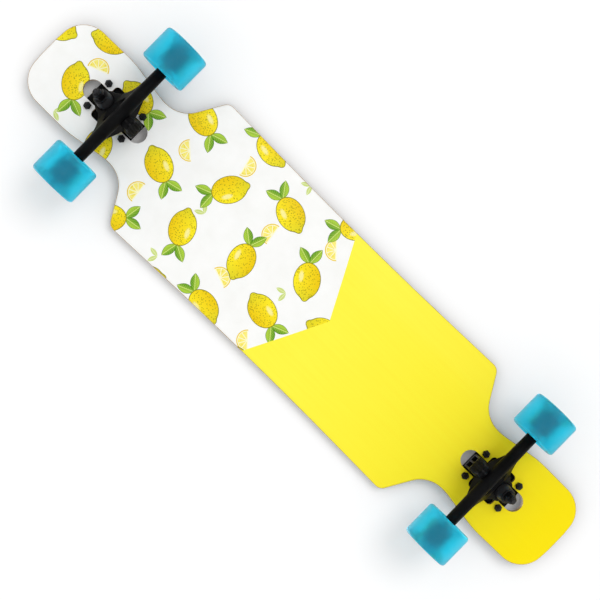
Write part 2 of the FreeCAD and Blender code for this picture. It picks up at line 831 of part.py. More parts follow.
def make_kingpin_nut(label, place):
    body = new_body(label)
    add_nut(body, s.kingpin_nut_width, s.kingpin_nut_height, s.kingpin_diameter / 2 + s.fit_gap, -nut_face, -1)
    body.Placement = place


def make_bushings(name, place):
    """A barrel above the ring, and a cone below it."""
    bore = s.kingpin_diameter / 2 + s.slide_gap
    wide = s.bushing_diameter / 2
    narrow = s.bushing_small_diameter / 2
    barrel = sleeve(bore, wide, seat_face, bushing_end, s.bushing_edge_radius)
    cone = [
        (bore, -bushing_end),
        (narrow, -bushing_end, s.bushing_edge_radius),
        (wide, -seat_face - s.bushing_length / 3, s.bushing_edge_radius),
        (wide, -seat_face, s.bushing_edge_radius),
        (bore, -seat_face),
    ]
    make_round(f"{name}_boardside_bushing", place, barrel)
    make_round(f"{name}_roadside_bushing", place, cone)
    rim = wide + s.seat_gap
    brim = rim + s.washer_rim
    small_rim = narrow + s.seat_gap
    upper = [
        (bore, bushing_end),
        (rim, bushing_end),
        (rim, bushing_end - s.washer_rim_height),
        (brim, bushing_end - s.washer_rim_height),
        (brim, base_face, s.washer_rim),
        (bore, base_face),
    ]
    lower = [
        (bore, -nut_face),
        (small_rim + s.washer_rim, -nut_face, s.washer_rim),
        (small_rim + s.washer_rim, s.washer_rim / 2 - bushing_end),
        (small_rim, s.washer_rim / 2 - bushing_end),
        (small_rim, -bushing_end),
        (bore, -bushing_end),
    ]
    make_round(f"{name}_cup_washers", place, upper, lower)


def bolt_holes(middle):
    places = []
    for x in (middle - s.bolt_spacing_long / 2, middle + s.bolt_spacing_long / 2):
        for y in (-s.bolt_spacing_wide / 2, s.bolt_spacing_wide / 2):
            places.append(((x, y), s.bolt_hole_diameter / 2))
    return places


def make_mounting_bolts(label, place):
    body = new_body(label)
    shank = s.bolt_diameter / 2
    tip = deck_height - s.mounting_nut_height - s.bolt_tail
    profile = [
        (ZERO, tip),
        (shank, tip),
        (shank, flange_top),
        (s.bolt_head_diameter / 2, flange_top),
        (s.bolt_head_diameter / 2, flange_top + s.bolt_head_height, s.bolt_head_radius),
        (ZERO, flange_top + s.bolt_head_height),
    ]
    corner = (-s.bolt_spacing_long / 2, ZERO, s.bolt_spacing_wide / 2)
    bolt = turn_round(body, "Revolution", new_sketch(body, "XZ_Plane", [profile], shift=corner), "V_Axis")
    grid_pattern(body, [bolt])
    body.Placement = place


def make_mounting_nuts(label, place):
    body = new_body(label)
    corner = (-s.bolt_spacing_long / 2, -s.bolt_spacing_wide / 2)
    features = add_nut(body, s.mounting_nut_width, s.mounting_nut_height, s.bolt_diameter / 2 + s.fit_gap,
                       deck_height, -1, corner)
    grid_pattern(body, features)
    body.Placement = place


def make_axle_pieces(name, place):
    """What sits on one axle, along its Z axis, each piece with its mirror image on the other end."""
    axle = s.axle_diameter / 2
    bore = axle + s.fit_gap
    chamfer = s.thread_chamfer
    rod = [
        (ZERO, -axle_end),
        (axle - chamfer, -axle_end),
        (axle, chamfer - axle_end),
        (axle, axle_end - chamfer),
        (axle - chamfer, axle_end),
        (ZERO, axle_end),
    ]
    make_round(f"{name}_axle", place, rod)
    washer = s.speed_washer_diameter / 2
    inner_washer = sleeve(bore, washer, s.hanger_width / 2, bearing_start)
    outer_washer = sleeve(bore, washer, stack_end - s.speed_washer_thickness, stack_end)
    make_round(f"{name}_speed_washers", place, inner_washer, outer_washer, pair=True)
    low = wheel_middle - s.spacer_length / 2
    high = wheel_middle + s.spacer_length / 2
    make_round(f"{name}_bearing_spacers", place, sleeve(bore, s.spacer_diameter / 2, low, high), pair=True)
    races = [inner_race(bore, middle) for middle in (low - s.bearing_width / 2, high + s.bearing_width / 2)]
    make_round(f"{name}_bearing_inner_rings", place, *races, pair=True)
    nuts = new_body(f"{name}_axle_nuts")
    features = add_nut(nuts, s.axle_nut_width, s.axle_nut_height, bore, stack_end, 1)
    mirror(nuts, features, "XY_Plane")
    nuts.Placement = place


def inner_race(bore, middle):
    half = s.bearing_width / 2
    groove = s.ball_diameter / 2 * RACE_WIDTH_SHARE
    land = s.bearing_inner_diameter / 2
    track = ball_circle - s.ball_diameter / 2 - s.ball_gap
    return [
        (bore, middle - half),
        (land, middle - half),
        (land, middle - groove),
        (track, middle - groove),
        (track, middle + groove),
        (land, middle + groove),
        (land, middle + half),
        (bore, middle + half),
    ]


def outer_race(middle):
    half = s.bearing_width / 2
    groove = s.ball_diameter / 2 * RACE_WIDTH_SHARE
    land = s.bearing_outer_bore / 2
    track = ball_circle + s.ball_diameter / 2 + s.ball_gap
    outside = s.bearing_diameter / 2
    return [
        (outside, middle - half),
        (outside, middle + half),
        (land, middle + half),
        (land, middle + groove),
        (track, middle + groove),
        (track, middle - groove),
        (land, middle - groove),
        (land, middle - half),
    ]


# Wheel pieces, about their own Z axis

def make_wheel(name, place):
    core = s.core_diameter / 2
    wide = s.wheel_width / 2
    hub = s.core_width / 2
    dish = s.wheel_dish_diameter / 2
    bond = core + s.fit_gap
    tyre = [
        (bond, -hub),
        (dish, -wide, s.wheel_dish_radius),
        (s.wheel_diameter / 2, -wide, s.wheel_lip_radius),
        (s.wheel_diameter / 2, wide, s.wheel_lip_radius),
        (dish, wide, s.wheel_dish_radius),
        (bond, hub),
    ]
    make_round(f"{name}_tyre", place, tyre)
    make_core(f"{name}_core", place, core, hub)
    middle = s.spacer_length / 2 + s.bearing_width / 2
    make_round(f"{name}_bearing_outer_rings", place, outer_race(middle), pair=True)
    shield_high = s.bearing_width / 2 - s.shield_inset
    shield_low = shield_high - s.shield_thickness
    near = sleeve(s.shield_bore / 2, s.bearing_outer_bore / 2 - s.fit_gap, middle - shield_high, middle - shield_low)
    far = sleeve(s.shield_bore / 2, s.bearing_outer_bore / 2 - s.fit_gap, middle + shield_low, middle + shield_high)
    make_round(f"{name}_bearing_shields", place, near, far, pair=True)
    make_balls(f"{name}_bearing_balls", place, middle)


def make_core(label, place, core, hub):
    seat = s.bearing_diameter / 2 + s.fit_gap
    shoulder = s.spacer_length / 2
    profile = [
        (core, -hub),
        (core, hub),
        (seat, hub),
        (seat, shoulder),
        (s.core_shoulder_bore / 2, shoulder),
        (s.core_shoulder_bore / 2, -shoulder),
        (seat, -shoulder),
        (seat, -hub),
    ]
    body = make_round(label, place, profile)
    centre = ((core + seat) / 2, ZERO)
    for level, reverse in ((hub, False), (-hub, True)):
        hole = new_sketch(body, "XY_Plane", circles=[(centre, s.core_recess_diameter / 2)],
                          shift=(ZERO, ZERO, level))
        cut = extrude(body, "Pocket", hole, s.core_recess_depth, reverse=reverse)
        ring_pattern(body, [cut], "Z_Axis", CORE_RECESS_COUNT)


def make_balls(label, place, middle):
    body = new_body(label)
    rows = []
    for level in (-middle, middle):
        ball = body.newObject("PartDesign::AdditiveSphere", "Ball")
        ball.AttachmentSupport = [(origin_part(body, "XY_Plane"), "")]
        ball.MapMode = "FlatFace"
        ball.setExpression("Radius", (s.ball_diameter / 2).text)
        ball.setExpression("AttachmentOffset.Base.x", ball_circle.text)
        ball.setExpression("AttachmentOffset.Base.z", level.text)
        rows.append(ball)
    ring_pattern(body, rows, "Z_Axis", BALL_COUNT)
    body.Placement = place


def make_truck(name, frame):
    ring = frame * Placement(Vector(s.ring_ahead.value, 0, ring_height.value),
                             Rotation(Vector(0, 1, 0), -s.steer_angle.value))
    axle = frame * Placement(Vector(-s.axle_setback.value, 0, axle_height.value),
                             Rotation(Vector(1, 0, 0), -QUARTER_TURN))
    make_baseplate(f"{name}_baseplate", frame)
    make_mounting_bolts(f"{name}_mounting_bolts", frame)
    make_mounting_nuts(f"{name}_mounting_nuts", frame)
    make_pivot_cup(f"{name}_pivot_cup", ring)
    make_kingpin(f"{name}_kingpin", ring)
    make_kingpin_nut(f"{name}_kingpin_nut", ring)
    make_bushings(name, ring)
    make_hanger(f"{name}_hanger", ring)
    make_axle_pieces(name, axle)


def check_and_write():
    doc.recompute()
    for item in doc.Objects:
        faults = {"Invalid", "Error"} & set(item.State)
        if faults:
            raise RuntimeError(f"{item.Name} in {[parent.Label for parent in item.InList]} is {faults}")
    for body in nodes:
        if body.Shape.isNull() or not body.Shape.isValid() or not body.Shape.Solids:
            raise RuntimeError(f"{body.Label} has no valid shape")
    os.makedirs("parts", exist_ok=True)
    for body in nodes:
        body.Shape.exportStep(f"parts/{body.Label}.step")


make_deck()
make_grip()
make_truck("front", Placement(Vector(truck_reach.value, 0, 0), Rotation()))
make_truck("rear", Placement(Vector(-truck_reach.value, 0, 0), Rotation(Vector(0, 0, 1), HALF_TURN)))
for end_name, end_sign in (("front", 1), ("rear", -1)):
    for side_name, side_sign in (("left", 1), ("right", -1)):
        centre = Vector(axle_reach.value * end_sign, wheel_middle.value * side_sign, axle_height.value)
        make_wheel(f"{end_name}_{side_name}", Placement(centre, Rotation(Vector(1, 0, 0), -QUARTER_TURN)))
check_and_write()
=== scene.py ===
import json
import math
from collections import namedtuple

import bmesh
import bpy
from mathutils import Matrix, Vector


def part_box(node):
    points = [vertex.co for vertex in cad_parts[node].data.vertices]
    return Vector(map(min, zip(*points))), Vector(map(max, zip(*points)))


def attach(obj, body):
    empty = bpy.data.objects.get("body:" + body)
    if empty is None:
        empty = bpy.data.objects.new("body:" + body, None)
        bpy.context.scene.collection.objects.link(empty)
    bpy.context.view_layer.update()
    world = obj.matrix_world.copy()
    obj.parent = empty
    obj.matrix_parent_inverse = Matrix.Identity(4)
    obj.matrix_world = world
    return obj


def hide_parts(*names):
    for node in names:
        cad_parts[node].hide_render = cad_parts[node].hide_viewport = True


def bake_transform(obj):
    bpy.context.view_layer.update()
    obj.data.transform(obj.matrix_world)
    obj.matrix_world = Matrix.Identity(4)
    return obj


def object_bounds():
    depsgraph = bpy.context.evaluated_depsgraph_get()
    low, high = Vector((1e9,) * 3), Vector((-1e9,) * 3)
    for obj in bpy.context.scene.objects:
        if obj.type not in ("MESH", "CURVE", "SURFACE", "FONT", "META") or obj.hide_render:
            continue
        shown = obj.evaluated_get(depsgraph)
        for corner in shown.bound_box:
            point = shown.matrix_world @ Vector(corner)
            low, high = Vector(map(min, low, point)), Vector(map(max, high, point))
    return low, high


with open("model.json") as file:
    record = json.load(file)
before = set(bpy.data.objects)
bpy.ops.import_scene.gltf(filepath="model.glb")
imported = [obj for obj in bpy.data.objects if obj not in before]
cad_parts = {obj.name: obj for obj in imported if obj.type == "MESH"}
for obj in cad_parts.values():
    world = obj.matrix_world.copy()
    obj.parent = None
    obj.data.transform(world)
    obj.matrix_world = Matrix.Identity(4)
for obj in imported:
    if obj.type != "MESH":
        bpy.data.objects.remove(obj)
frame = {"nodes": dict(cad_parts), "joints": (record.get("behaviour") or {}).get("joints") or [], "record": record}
cad_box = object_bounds()

MM = 0.001


def lowest(node):
    """The lowest corner of a CAD node's box, in millimetres."""
    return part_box(node)[0] / MM


def highest(node):
    """The highest corner of a CAD node's box, in millimetres."""
    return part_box(node)[1] / MM


def joint(name):
    return next(entry for entry in frame["joints"] if entry["name"] == name)


# Sizes are in millimetres and angles in degrees, unless a line says otherwise

# Deck: a flat middle and sides that rise, in plies of one thickness, lacquered below and clear on top
DECK_BELOW = lowest("deck").z
CONCAVE_START = 60.7
CONCAVE_ANGLE = 7.35
CONCAVE_BLEND = 3.2
PLY = 1.6
PLIES_UNDER_TOP = 6
GLUE_SHARE = 0.07
LACQUER_WRAP = 0.9
PALE_LACQUER_AT = -60.0
DEEP_LACQUER_AT = -450.0

# Print: it covers the nose half and ends in a point past the middle of the board
PRINT_POINT = 46.0
PRINT_SLANT = 0.509

# Cells of the print: one lemon each, in columns, every second column half a cell lower
CELL_WIDE = 80.0
CELL_TALL = 86.0
COLUMNS_SHIFT = 20.0
ROWS_SHIFT = 14.0

# Lemon: half sizes, the nub on its tip, and how far chance moves it and turns it (radians)
LEMON_LENGTH = 25.0
LEMON_WIDTH = 18.8
LEMON_SCALE = 19.0  # turns shares of the lemon into about millimetres
LEMON_OFFSET = 8.5
LEMON_SWAY = 3.0
LEMON_BOB = 8.0
LEMON_TURN = 2.6
FLIP_DRAW = 7.0  # stretches one draw into another
NUB_PLACE = 24.6
NUB_RADIUS = 4.0
NUB_BLEND = 7.0

# Peel: how far its shade and its green run, and the place and half sizes of its shine
PEEL_SHADE_REACH = 16.0
PEEL_GREEN_FROM = 6.0
PEEL_GREEN_TO = 29.0
SHINE_BACK = 5.0
SHINE_ASIDE = 8.5
SHINE_LENGTH = 8.944
SHINE_WIDTH = 3.873
PEEL_LINE_WIDTH = 0.9

# Leaves: two at the stalk of each lemon, with half sizes
STALK_PLACE = 23.0
LEAF_SPREAD = 36.0
LEAF_LENGTH = 13.0
LEAF_WIDTH = 6.6
LEAF_RIB_SLANT = 1.1
LEAF_RIB_PACE = 1.9
LEAF_SHADE_REACH = 4.0
LEAF_VEIN_WIDTH = 0.45
LEAF_LINE_WIDTH = 0.6

# Sprigs and wedges: one or the other in each gap between the lemons of a column
GAP_DRAW = 91.0  # sets its draws apart from those of the lemons
GAP_SWAY = 12.0
WEDGE_DRAW = 0.55
SPRIG_SPREAD = 38.0
SPRIG_PLACE = 7.5
SPRIG_LENGTH = 7.6
SPRIG_WIDTH = 3.1
SPRIG_VEIN_WIDTH = 0.35
WEDGE_DROP = 5.0
WEDGE_RADIUS = 15.0
WEDGE_BELOW = 1.0
PITH_RADIUS = 13.6
FLESH_RADIUS = 12.6
FLESH_FROM = 0.2
SEGMENT = math.pi / 5  # radians
SEGMENT_SKIN = 0.55

# Castings: the spacing of the skin's points, and how it is softened
CAST_MERGE = 0.01
CAST_SPACING = 0.9
CAST_SOFTENING = 0.5
CAST_PASSES = 5
EDGE_GAIN = 4.0

# The boss of the pivot tower, along the steering line from the middle of the kingpin ring, and its ribs
BOSS_RADIUS = 10.7
BOSS_MOUTH = 57.0
BOSS_END = 67.2
RIB_STEP = 7.4
RIB_WIDTH = 2.6
RIB_RISE = 1.6
RIB_DEPTH = 3.2
RIB_FOOT_SHARE = 0.7

# Bushings: levels along the kingpin from the middle of the ring, and each edge's cut, inwards and along
BushingSize = namedtuple("BushingSize", "low low_radius low_edge high high_radius high_edge swell")
SEAT_NEAR = 4.0
SEAT_FAR = 17.5
SEAT_GAP = 0.1
BUSHING_BORE = 4.9
SWELL_POWER = 0.8
SWELL_STEPS = 14
BARREL = BushingSize(
    low=SEAT_NEAR + SEAT_GAP, low_radius=11.8, low_edge=(0.8, 0.7),
    high=SEAT_FAR - SEAT_GAP, high_radius=11.8, high_edge=(0.8, 0.6), swell=0.9)
CONE = BushingSize(
    low=SEAT_GAP - SEAT_FAR, low_radius=9.2, low_edge=(0.8, 0.6),
    high=-SEAT_NEAR - SEAT_GAP, high_radius=11.9, high_edge=(0.7, 0.9), swell=0.8)

# Kingpin: levels from the middle of the ring
KINGPIN_RADIUS = 4.75
KINGPIN_TIP = -32.0
KINGPIN_TIP_RADIUS = 3.9
KINGPIN_TIP_BEVEL = 0.8
KINGPIN_PITCH = 1.25
KINGPIN_TURNS = 9
KINGPIN_NUT_FOOT = -19.0
KINGPIN_HEAD_WIDTH = 14.2
KINGPIN_HEAD_FOOT = 26.0
KINGPIN_HEAD_TOP = 32.5
HEAD_DISH_RADIUS = 5.6
HEAD_DISH_DEPTH = 0.4

# Hexagons: the turned face's radius as a share of the width across the flats, and the slope of its bevel
HEXAGON_FACE_SHARE = 0.475
HEXAGON_BEVEL = 0.577

# Nuts: width across the flats, height and radius of the bore
NutSize = namedtuple("NutSize", "width height bore")
MOUNTING_NUT = NutSize(width=9.5, height=5.5, bore=2.44)
KINGPIN_NUT = NutSize(width=14.2, height=9.5, bore=4.78)
AXLE_NUT = NutSize(width=12.7, height=8.5, bore=4.03)
MOST_TURN = 1.0  # radians

# The collar of a nut, as shares of its height and width, and its crimp and soft ring, down from the top
HEXAGON_SHARE = 0.72
COLLAR_SHARE = 0.45
CRIMP_ROUND = 0.7
CRIMP_SHOULDER_IN = 0.25
CRIMP_SHOULDER_DOWN = 0.2
CRIMP_LIP = 0.9
CRIMP_LIP_DOWN = 0.1
CRIMP_MOUTH = 0.6
CRIMP_DEPTH = 0.9
RING_INSET = 1.0
RING_FOOT_DOWN = 1.6
RING_TOP_DOWN = 0.22
RING_LIP = 0.25
RING_LIP_DOWN = 0.3
RING_MOUTH_DOWN = 0.6

# Mounting bolts: spacing along and across the board, shank, round head and hexagon socket
BOLTS_ALONG = 63.5
BOLTS_ACROSS = 41.3
BOLT_RADIUS = 2.4
BOLT_LENGTH = 24.2
BOLT_BEVEL = 0.6
BOLT_PITCH = 0.8
BOLT_TURNS = 11
BOLT_HEAD_RADIUS = 4.6
BOLT_HEAD_HEIGHT = 2.8
BOLT_HEAD_ROUND = 1.8
BOLT_HEAD_ANGLES = (0.0, 0.4, 0.8, 1.2, math.pi / 2)  # radians
SOCKET_WIDTH = 3.2
SOCKET_RIM = 2.1
SOCKET_BEVEL = 0.3
SOCKET_FLOOR = 0.9

# Axles and threads
AXLE_RADIUS = 4.0
AXLE_TIP_RADIUS = 3.2
AXLE_TIP_BEVEL = 0.7
AXLE_PITCH = 1.0
AXLE_TURNS = 11
THREAD_DEPTH_SHARE = 0.55  # of the pitch

# Bearings: their width, how deep a shield lies in them, and the radii and levels of a shield
BEARING_WIDTH = 7.0
SHIELD_RECESS = 0.4
SHIELD_INNER = 6.45
SHIELD_OUTER = 9.05
SHIELD_CLIP = 8.7
SHIELD_GROOVE_OUTER = 8.62
SHIELD_GROOVE_INNER = 8.4
SHIELD_CROWN_OUTER = 8.25
SHIELD_CROWN_INNER = 7.3
SHIELD_LIP = 7.05
CLIP_LEVEL = 0.5
GROOVE_LEVEL = 0.3
CROWN_LEVEL = 0.46
LIP_LEVEL = 0.24

# Turned pieces: points in a ring, and the angle from which an edge stays sharp
STEPS = 48
FINE_STEPS = 72
TURNED_CREASE = 28.0
BUSHING_CREASE = 50.0

# Camera and stage, in metres apart from the lens and its sensor
EYE = Vector((0.115, -0.03, -2.015))
TARGET = Vector((0.003, -0.0071, 0.085))
UPWARDS = Vector((0.7004, 0.7137, 0.0))
LENS = 93.0
SENSOR = 36.0
PAPER_HALF = 12.0
BACKDROP_GAP = 0.0015

# Room and paper: the light of the room, how bright it shows, between which heights of a direction it dims,
# and how white the paper is and how much light it adds
ROOM_LIGHT = 0.5
ROOM_BRIGHT = 1.0
ROOM_DIM = 0.4
BRIGHT_FROM = -0.05
DIM_FROM = -0.5
PAPER_WHITE = 0.97
PAPER_GLOW = 0.05


# Colours

def linear(red, green, blue):
    return (red, green, blue, 1.0)


def grey(level, blue):
    """A grey of that much light, with its own share of blue."""
    return linear(level, level, blue)


def tone(red, green, blue):
    """A colour as it shows on screen, 0 to 255 a channel, turned into light."""
    channels = [c / 255 for c in (red, green, blue)]
    return linear(*[c / 12.92 if c <= 0.04045 else ((c + 0.055) / 1.055) ** 2.4 for c in channels])


WHITE = linear(1.0, 1.0, 1.0)

PALE_LACQUER = tone(255, 247, 70)
DEEP_LACQUER = tone(255, 232, 0)
LACQUER_GRAIN = tone(250, 214, 0)
PALE_PLY = tone(226, 196, 146)
DARK_PLY = tone(190, 150, 98)
PLY_GRAIN = tone(150, 108, 64)
PLY_GLUE = tone(120, 82, 44)
PALE_VENEER = tone(236, 208, 158)
DARK_VENEER = tone(206, 168, 112)

DULL_GROUND = tone(247, 247, 244)
CLEAN_GROUND = tone(252, 252, 250)
PEEL_SHADE = tone(240, 204, 10)
PEEL_LIGHT = tone(255, 236, 36)
PEEL_GREEN = tone(206, 210, 44)
PEEL_PORE = tone(150, 140, 18)
PEEL_SHINE = tone(255, 247, 170)
PEEL_LINE = tone(142, 136, 20)
LEAF_SHADE = tone(96, 156, 30)
LEAF_LIGHT = tone(168, 206, 58)
LEAF_RIB = tone(206, 224, 110)
LEAF_VEIN = tone(214, 230, 126)
LEAF_LINE = tone(84, 124, 20)
SPRIG = tone(206, 222, 132)
SPRIG_VEIN = tone(232, 240, 186)
RIND = tone(238, 204, 30)
PITH = tone(255, 251, 214)
DEEP_FLESH = tone(240, 216, 66)
PALE_FLESH = tone(252, 238, 122)


# Nodes

def feed(tree, socket, value):
    """Gives an input a value of its own, or links it to the output of another node."""
    if isinstance(value, Amount):
        value = value.socket
    if isinstance(value, bpy.types.NodeSocket):
        tree.links.new(value, socket)
    else:
        socket.default_value = value


def add_node(tree, kind, inputs=(), **settings):
    node = tree.nodes.new(kind)
    for name, value in settings.items():
        setattr(node, name, value)
    for socket, value in dict(inputs).items():
        feed(tree, node.inputs[socket], value)
    return node


def combined(tree, operation, *values):
    return add_node(tree, "ShaderNodeMath", enumerate(values), operation=operation).outputs[0]


class Amount:
    """A number that varies over a surface: one node output, with plain arithmetic."""

    def __init__(self, finish, socket):
        self.finish = finish
        self.socket = socket

    def __add__(self, other):
        return self.finish.math("ADD", self, other)

    def __sub__(self, other):
        return self.finish.math("SUBTRACT", self, other)

    def __rsub__(self, other):
        return self.finish.math("SUBTRACT", other, self)

    def __mul__(self, other):
        return self.finish.math("MULTIPLY", self, other)

    def __truediv__(self, other):
        return self.finish.math("DIVIDE", self, other)

    def __lt__(self, other):
        return self.finish.math("LESS_THAN", self, other)

    def __gt__(self, other):
        return self.finish.math("GREATER_THAN", self, other)

    def __abs__(self):
        return self.finish.math("ABSOLUTE", self)


class Finish:
    """A material on a Principled shader, with short calls for the nodes that colour it."""

    def __init__(self, name, **constants):
        self.material = bpy.data.materials.new(name)
        self.material.use_nodes = True
        self.tree = self.material.node_tree
        self.shader = self.tree.nodes["Principled BSDF"]
        for socket, value in constants.items():
            self.shader.inputs[socket.replace("_", " ")].default_value = value
        self.place = self.add("ShaderNodeTexCoord").outputs["Object"]

    def add(self, kind, inputs=(), **settings):
        return add_node(self.tree, kind, inputs, **settings)

    def set(self, socket, value):
        feed(self.tree, self.shader.inputs[socket], value)

    def math(self, operation, *values):
        return Amount(self, combined(self.tree, operation, *values))

    def axes(self):
        """The three coordinates of the surface, in millimetres."""
        node = self.add("ShaderNodeSeparateXYZ", {"Vector": self.place})
        return [Amount(self, output) * (1.0 / MM) for output in node.outputs]

    def stretched(self, x, y, z):
        """Coordinates squeezed along each axis, for grain that runs one way."""
        node = self.add("ShaderNodeMapping", {"Vector": self.place, "Scale": (x, y, z)})
        return node.outputs["Vector"]

    def noise(self, scale, detail=3.0, rough=0.5, place=None):
        inputs = {"Vector": place or self.place, "Scale": scale, "Detail": detail, "Roughness": rough}
        return Amount(self, self.add("ShaderNodeTexNoise", inputs).outputs["Fac"])

    def cells(self, scale, output="Distance"):
        node = self.add("ShaderNodeTexVoronoi", {"Vector": self.place, "Scale": scale})
        return Amount(self, node.outputs[output])

    def chance(self, column, row):
        """Three random numbers for each cell of a grid."""
        cell = self.add("ShaderNodeCombineXYZ", {"X": column, "Y": row}).outputs["Vector"]
        noise = self.add("ShaderNodeTexWhiteNoise", {"Vector": cell}, noise_dimensions="2D")
        parts = self.add("ShaderNodeSeparateColor", {"Color": noise.outputs["Color"]})
        return [Amount(self, output) for output in parts.outputs]

    def between(self, value, low, high, start=0.0, end=1.0):
        """An amount that goes from start to end as the given value goes from low to high."""
        inputs = {"Value": value, "From Min": low, "From Max": high, "To Min": start, "To Max": end}
        return Amount(self, self.add("ShaderNodeMapRange", inputs).outputs["Result"])

    def mix(self, share, first, second):
        node = self.add("ShaderNodeMix", {0: share, 6: first, 7: second}, data_type="RGBA")
        return node.outputs[2]

    def bump(self, height, distance, strength):
        inputs = {"Height": height, "Distance": distance, "Strength": strength}
        self.set("Normal", self.add("ShaderNodeBump", inputs).outputs["Normal"])


# The print

def square(value):
    return value * value


def turned(f, u, v, angle):
    cosine = f.math("COSINE", angle)
    sine = f.math("SINE", angle)
    return u * cosine + v * sine, v * cosine - u * sine


def leaf_shape(along, across, length, width):
    """How far a point lies outside a pointed leaf of that half length and half width."""
    return abs(across) - (1.0 - square(along / length)) * width


def lemon_shape(f, tipward, sideward):
    """How far a point lies outside a lemon with a nub on its tip."""
    body = f.math("SQRT", square(tipward / LEMON_LENGTH) + square(sideward / LEMON_WIDTH)) - 1.0
    nub = f.math("SQRT", square(tipward - NUB_PLACE) + square(sideward)) - NUB_RADIUS
    return f.math("SMOOTH_MIN", body * LEMON_SCALE, nub, NUB_BLEND)


def lemon_place(f, column, aside, down):
    """A point's place along and across the lemon of its cell, which chance shifts and turns."""
    row = f.math("FLOOR", down / CELL_TALL)
    turn_draw, sway_draw, bob_draw = f.chance(column, row)
    u = aside + (sway_draw - 0.5) * LEMON_SWAY
    v = down - (row + 0.5) * CELL_TALL + (bob_draw - 0.5) * LEMON_BOB
    flip_draw = bob_draw * FLIP_DRAW
    flip = (flip_draw - f.math("FLOOR", flip_draw) > 0.5) * math.pi
    tipward, sideward = turned(f, u, v, (turn_draw - 0.5) * LEMON_TURN + flip)
    return tipward - LEMON_OFFSET, sideward


def lemon_peel(f, tipward, sideward):
    """Peel that is shaded to one side and green to the tip, with pores and a soft shine."""
    peel = f.mix(f.between(sideward, -PEEL_SHADE_REACH, PEEL_SHADE_REACH), PEEL_SHADE, PEEL_LIGHT)
    peel = f.mix(f.between(tipward, PEEL_GREEN_FROM, PEEL_GREEN_TO, end=0.6), peel, PEEL_GREEN)
    peel = f.mix(f.between(f.cells(400.0), 0.2, 0.4, start=0.8, end=0.0), peel, PEEL_PORE)
    shine_along = (tipward + SHINE_BACK) / SHINE_LENGTH
    shine_across = (sideward - SHINE_ASIDE) / SHINE_WIDTH
    shine = f.math("SQRT", square(shine_along) + square(shine_across))
    return f.mix(f.between(shine, 0.55, 1.0, start=0.8, end=0.0), peel, PEEL_SHINE)


def leaf_green(f, along, across):
    ribs = f.math("SINE", (along - abs(across) * LEAF_RIB_SLANT) * LEAF_RIB_PACE)
    green = f.mix(f.between(across, -LEAF_SHADE_REACH, LEAF_SHADE_REACH), LEAF_SHADE, LEAF_LIGHT)
    green = f.mix(f.between(ribs, 0.7, 1.0, end=0.6), green, LEAF_RIB)
    return f.mix(abs(across) < LEAF_VEIN_WIDTH, green, LEAF_VEIN)


def with_sprig(f, ground, u, v):
    """The ground with two pale leaves on it."""
    along, across = turned(f, u, abs(v), math.radians(SPRIG_SPREAD))
    sprig = leaf_shape(along - SPRIG_PLACE, across, SPRIG_LENGTH, SPRIG_WIDTH)
    pale_leaf = f.mix(abs(across) < SPRIG_VEIN_WIDTH, SPRIG, SPRIG_VEIN)
    return f.mix(sprig < 0.0, ground, pale_leaf)


def with_wedge(f, ground, u, v):
    """The ground with half a slice of fruit on it, its flat side below."""
    reach = f.math("SQRT", square(u) + square(v))
    wedge = f.math("MAXIMUM", reach - WEDGE_RADIUS, v * -1.0 - WEDGE_BELOW)
    segment = f.math("ARCTAN2", v, u) / SEGMENT
    skin = abs(segment - f.math("ROUND", segment)) * reach * SEGMENT
    flesh = f.mix(f.between(f.cells(300.0), 0.1, 0.5), DEEP_FLESH, PALE_FLESH)
    flesh = f.mix(skin < SEGMENT_SKIN, flesh, PITH)
    colour = f.mix(wedge < 0.0, ground, RIND)
    colour = f.mix(reach < PITH_RADIUS, colour, f.mix(wedge < 0.0, ground, PITH))
    return f.mix((reach < FLESH_RADIUS) * (v > FLESH_FROM), colour, flesh)


def between_lemons(f, ground, column, aside, down):
    """The ground with a sprig or a wedge, by chance, in each gap between the lemons of a column."""
    lower = down + CELL_TALL / 2
    row = f.math("FLOOR", lower / CELL_TALL)
    turn_draw, sway_draw, kind_draw = f.chance(column + GAP_DRAW, row)
    u = aside + (sway_draw - 0.5) * GAP_SWAY
    v = lower - (row + 0.5) * CELL_TALL
    u, v = turned(f, u, v, turn_draw * math.tau)
    sprigs = with_sprig(f, ground, u, v)
    wedges = with_wedge(f, ground, u, v + WEDGE_DROP)
    return f.mix(kind_draw > WEDGE_DRAW, sprigs, wedges)


def fruit_print(f, x, y):
    """Lemons with two leaves on white, in columns, and sprigs and wedges between."""
    shifted = x + COLUMNS_SHIFT
    column = f.math("FLOOR", shifted / CELL_WIDE)
    aside = shifted - (column + 0.5) * CELL_WIDE
    down = y + f.math("FLOORED_MODULO", column, 2.0) * (CELL_TALL / 2) + ROWS_SHIFT

    ground = f.mix(f.between(f.noise(40.0), 0.3, 0.7), DULL_GROUND, CLEAN_GROUND)
    colour = between_lemons(f, ground, column, aside, down)

    tipward, sideward = lemon_place(f, column, aside, down)
    along, across = turned(f, (tipward + STALK_PLACE) * -1.0, abs(sideward), math.radians(LEAF_SPREAD))
    along = along - LEAF_LENGTH
    leaf = leaf_shape(along, across, LEAF_LENGTH, LEAF_WIDTH)
    colour = f.mix(leaf < 0.0, colour, LEAF_LINE)
    colour = f.mix(leaf < -LEAF_LINE_WIDTH, colour, leaf_green(f, along, across))

    lemon = lemon_shape(f, tipward, sideward)
    colour = f.mix(lemon < 0.0, colour, PEEL_LINE)
    return f.mix(lemon < -PEEL_LINE_WIDTH, colour, lemon_peel(f, tipward, sideward))


# Finishes

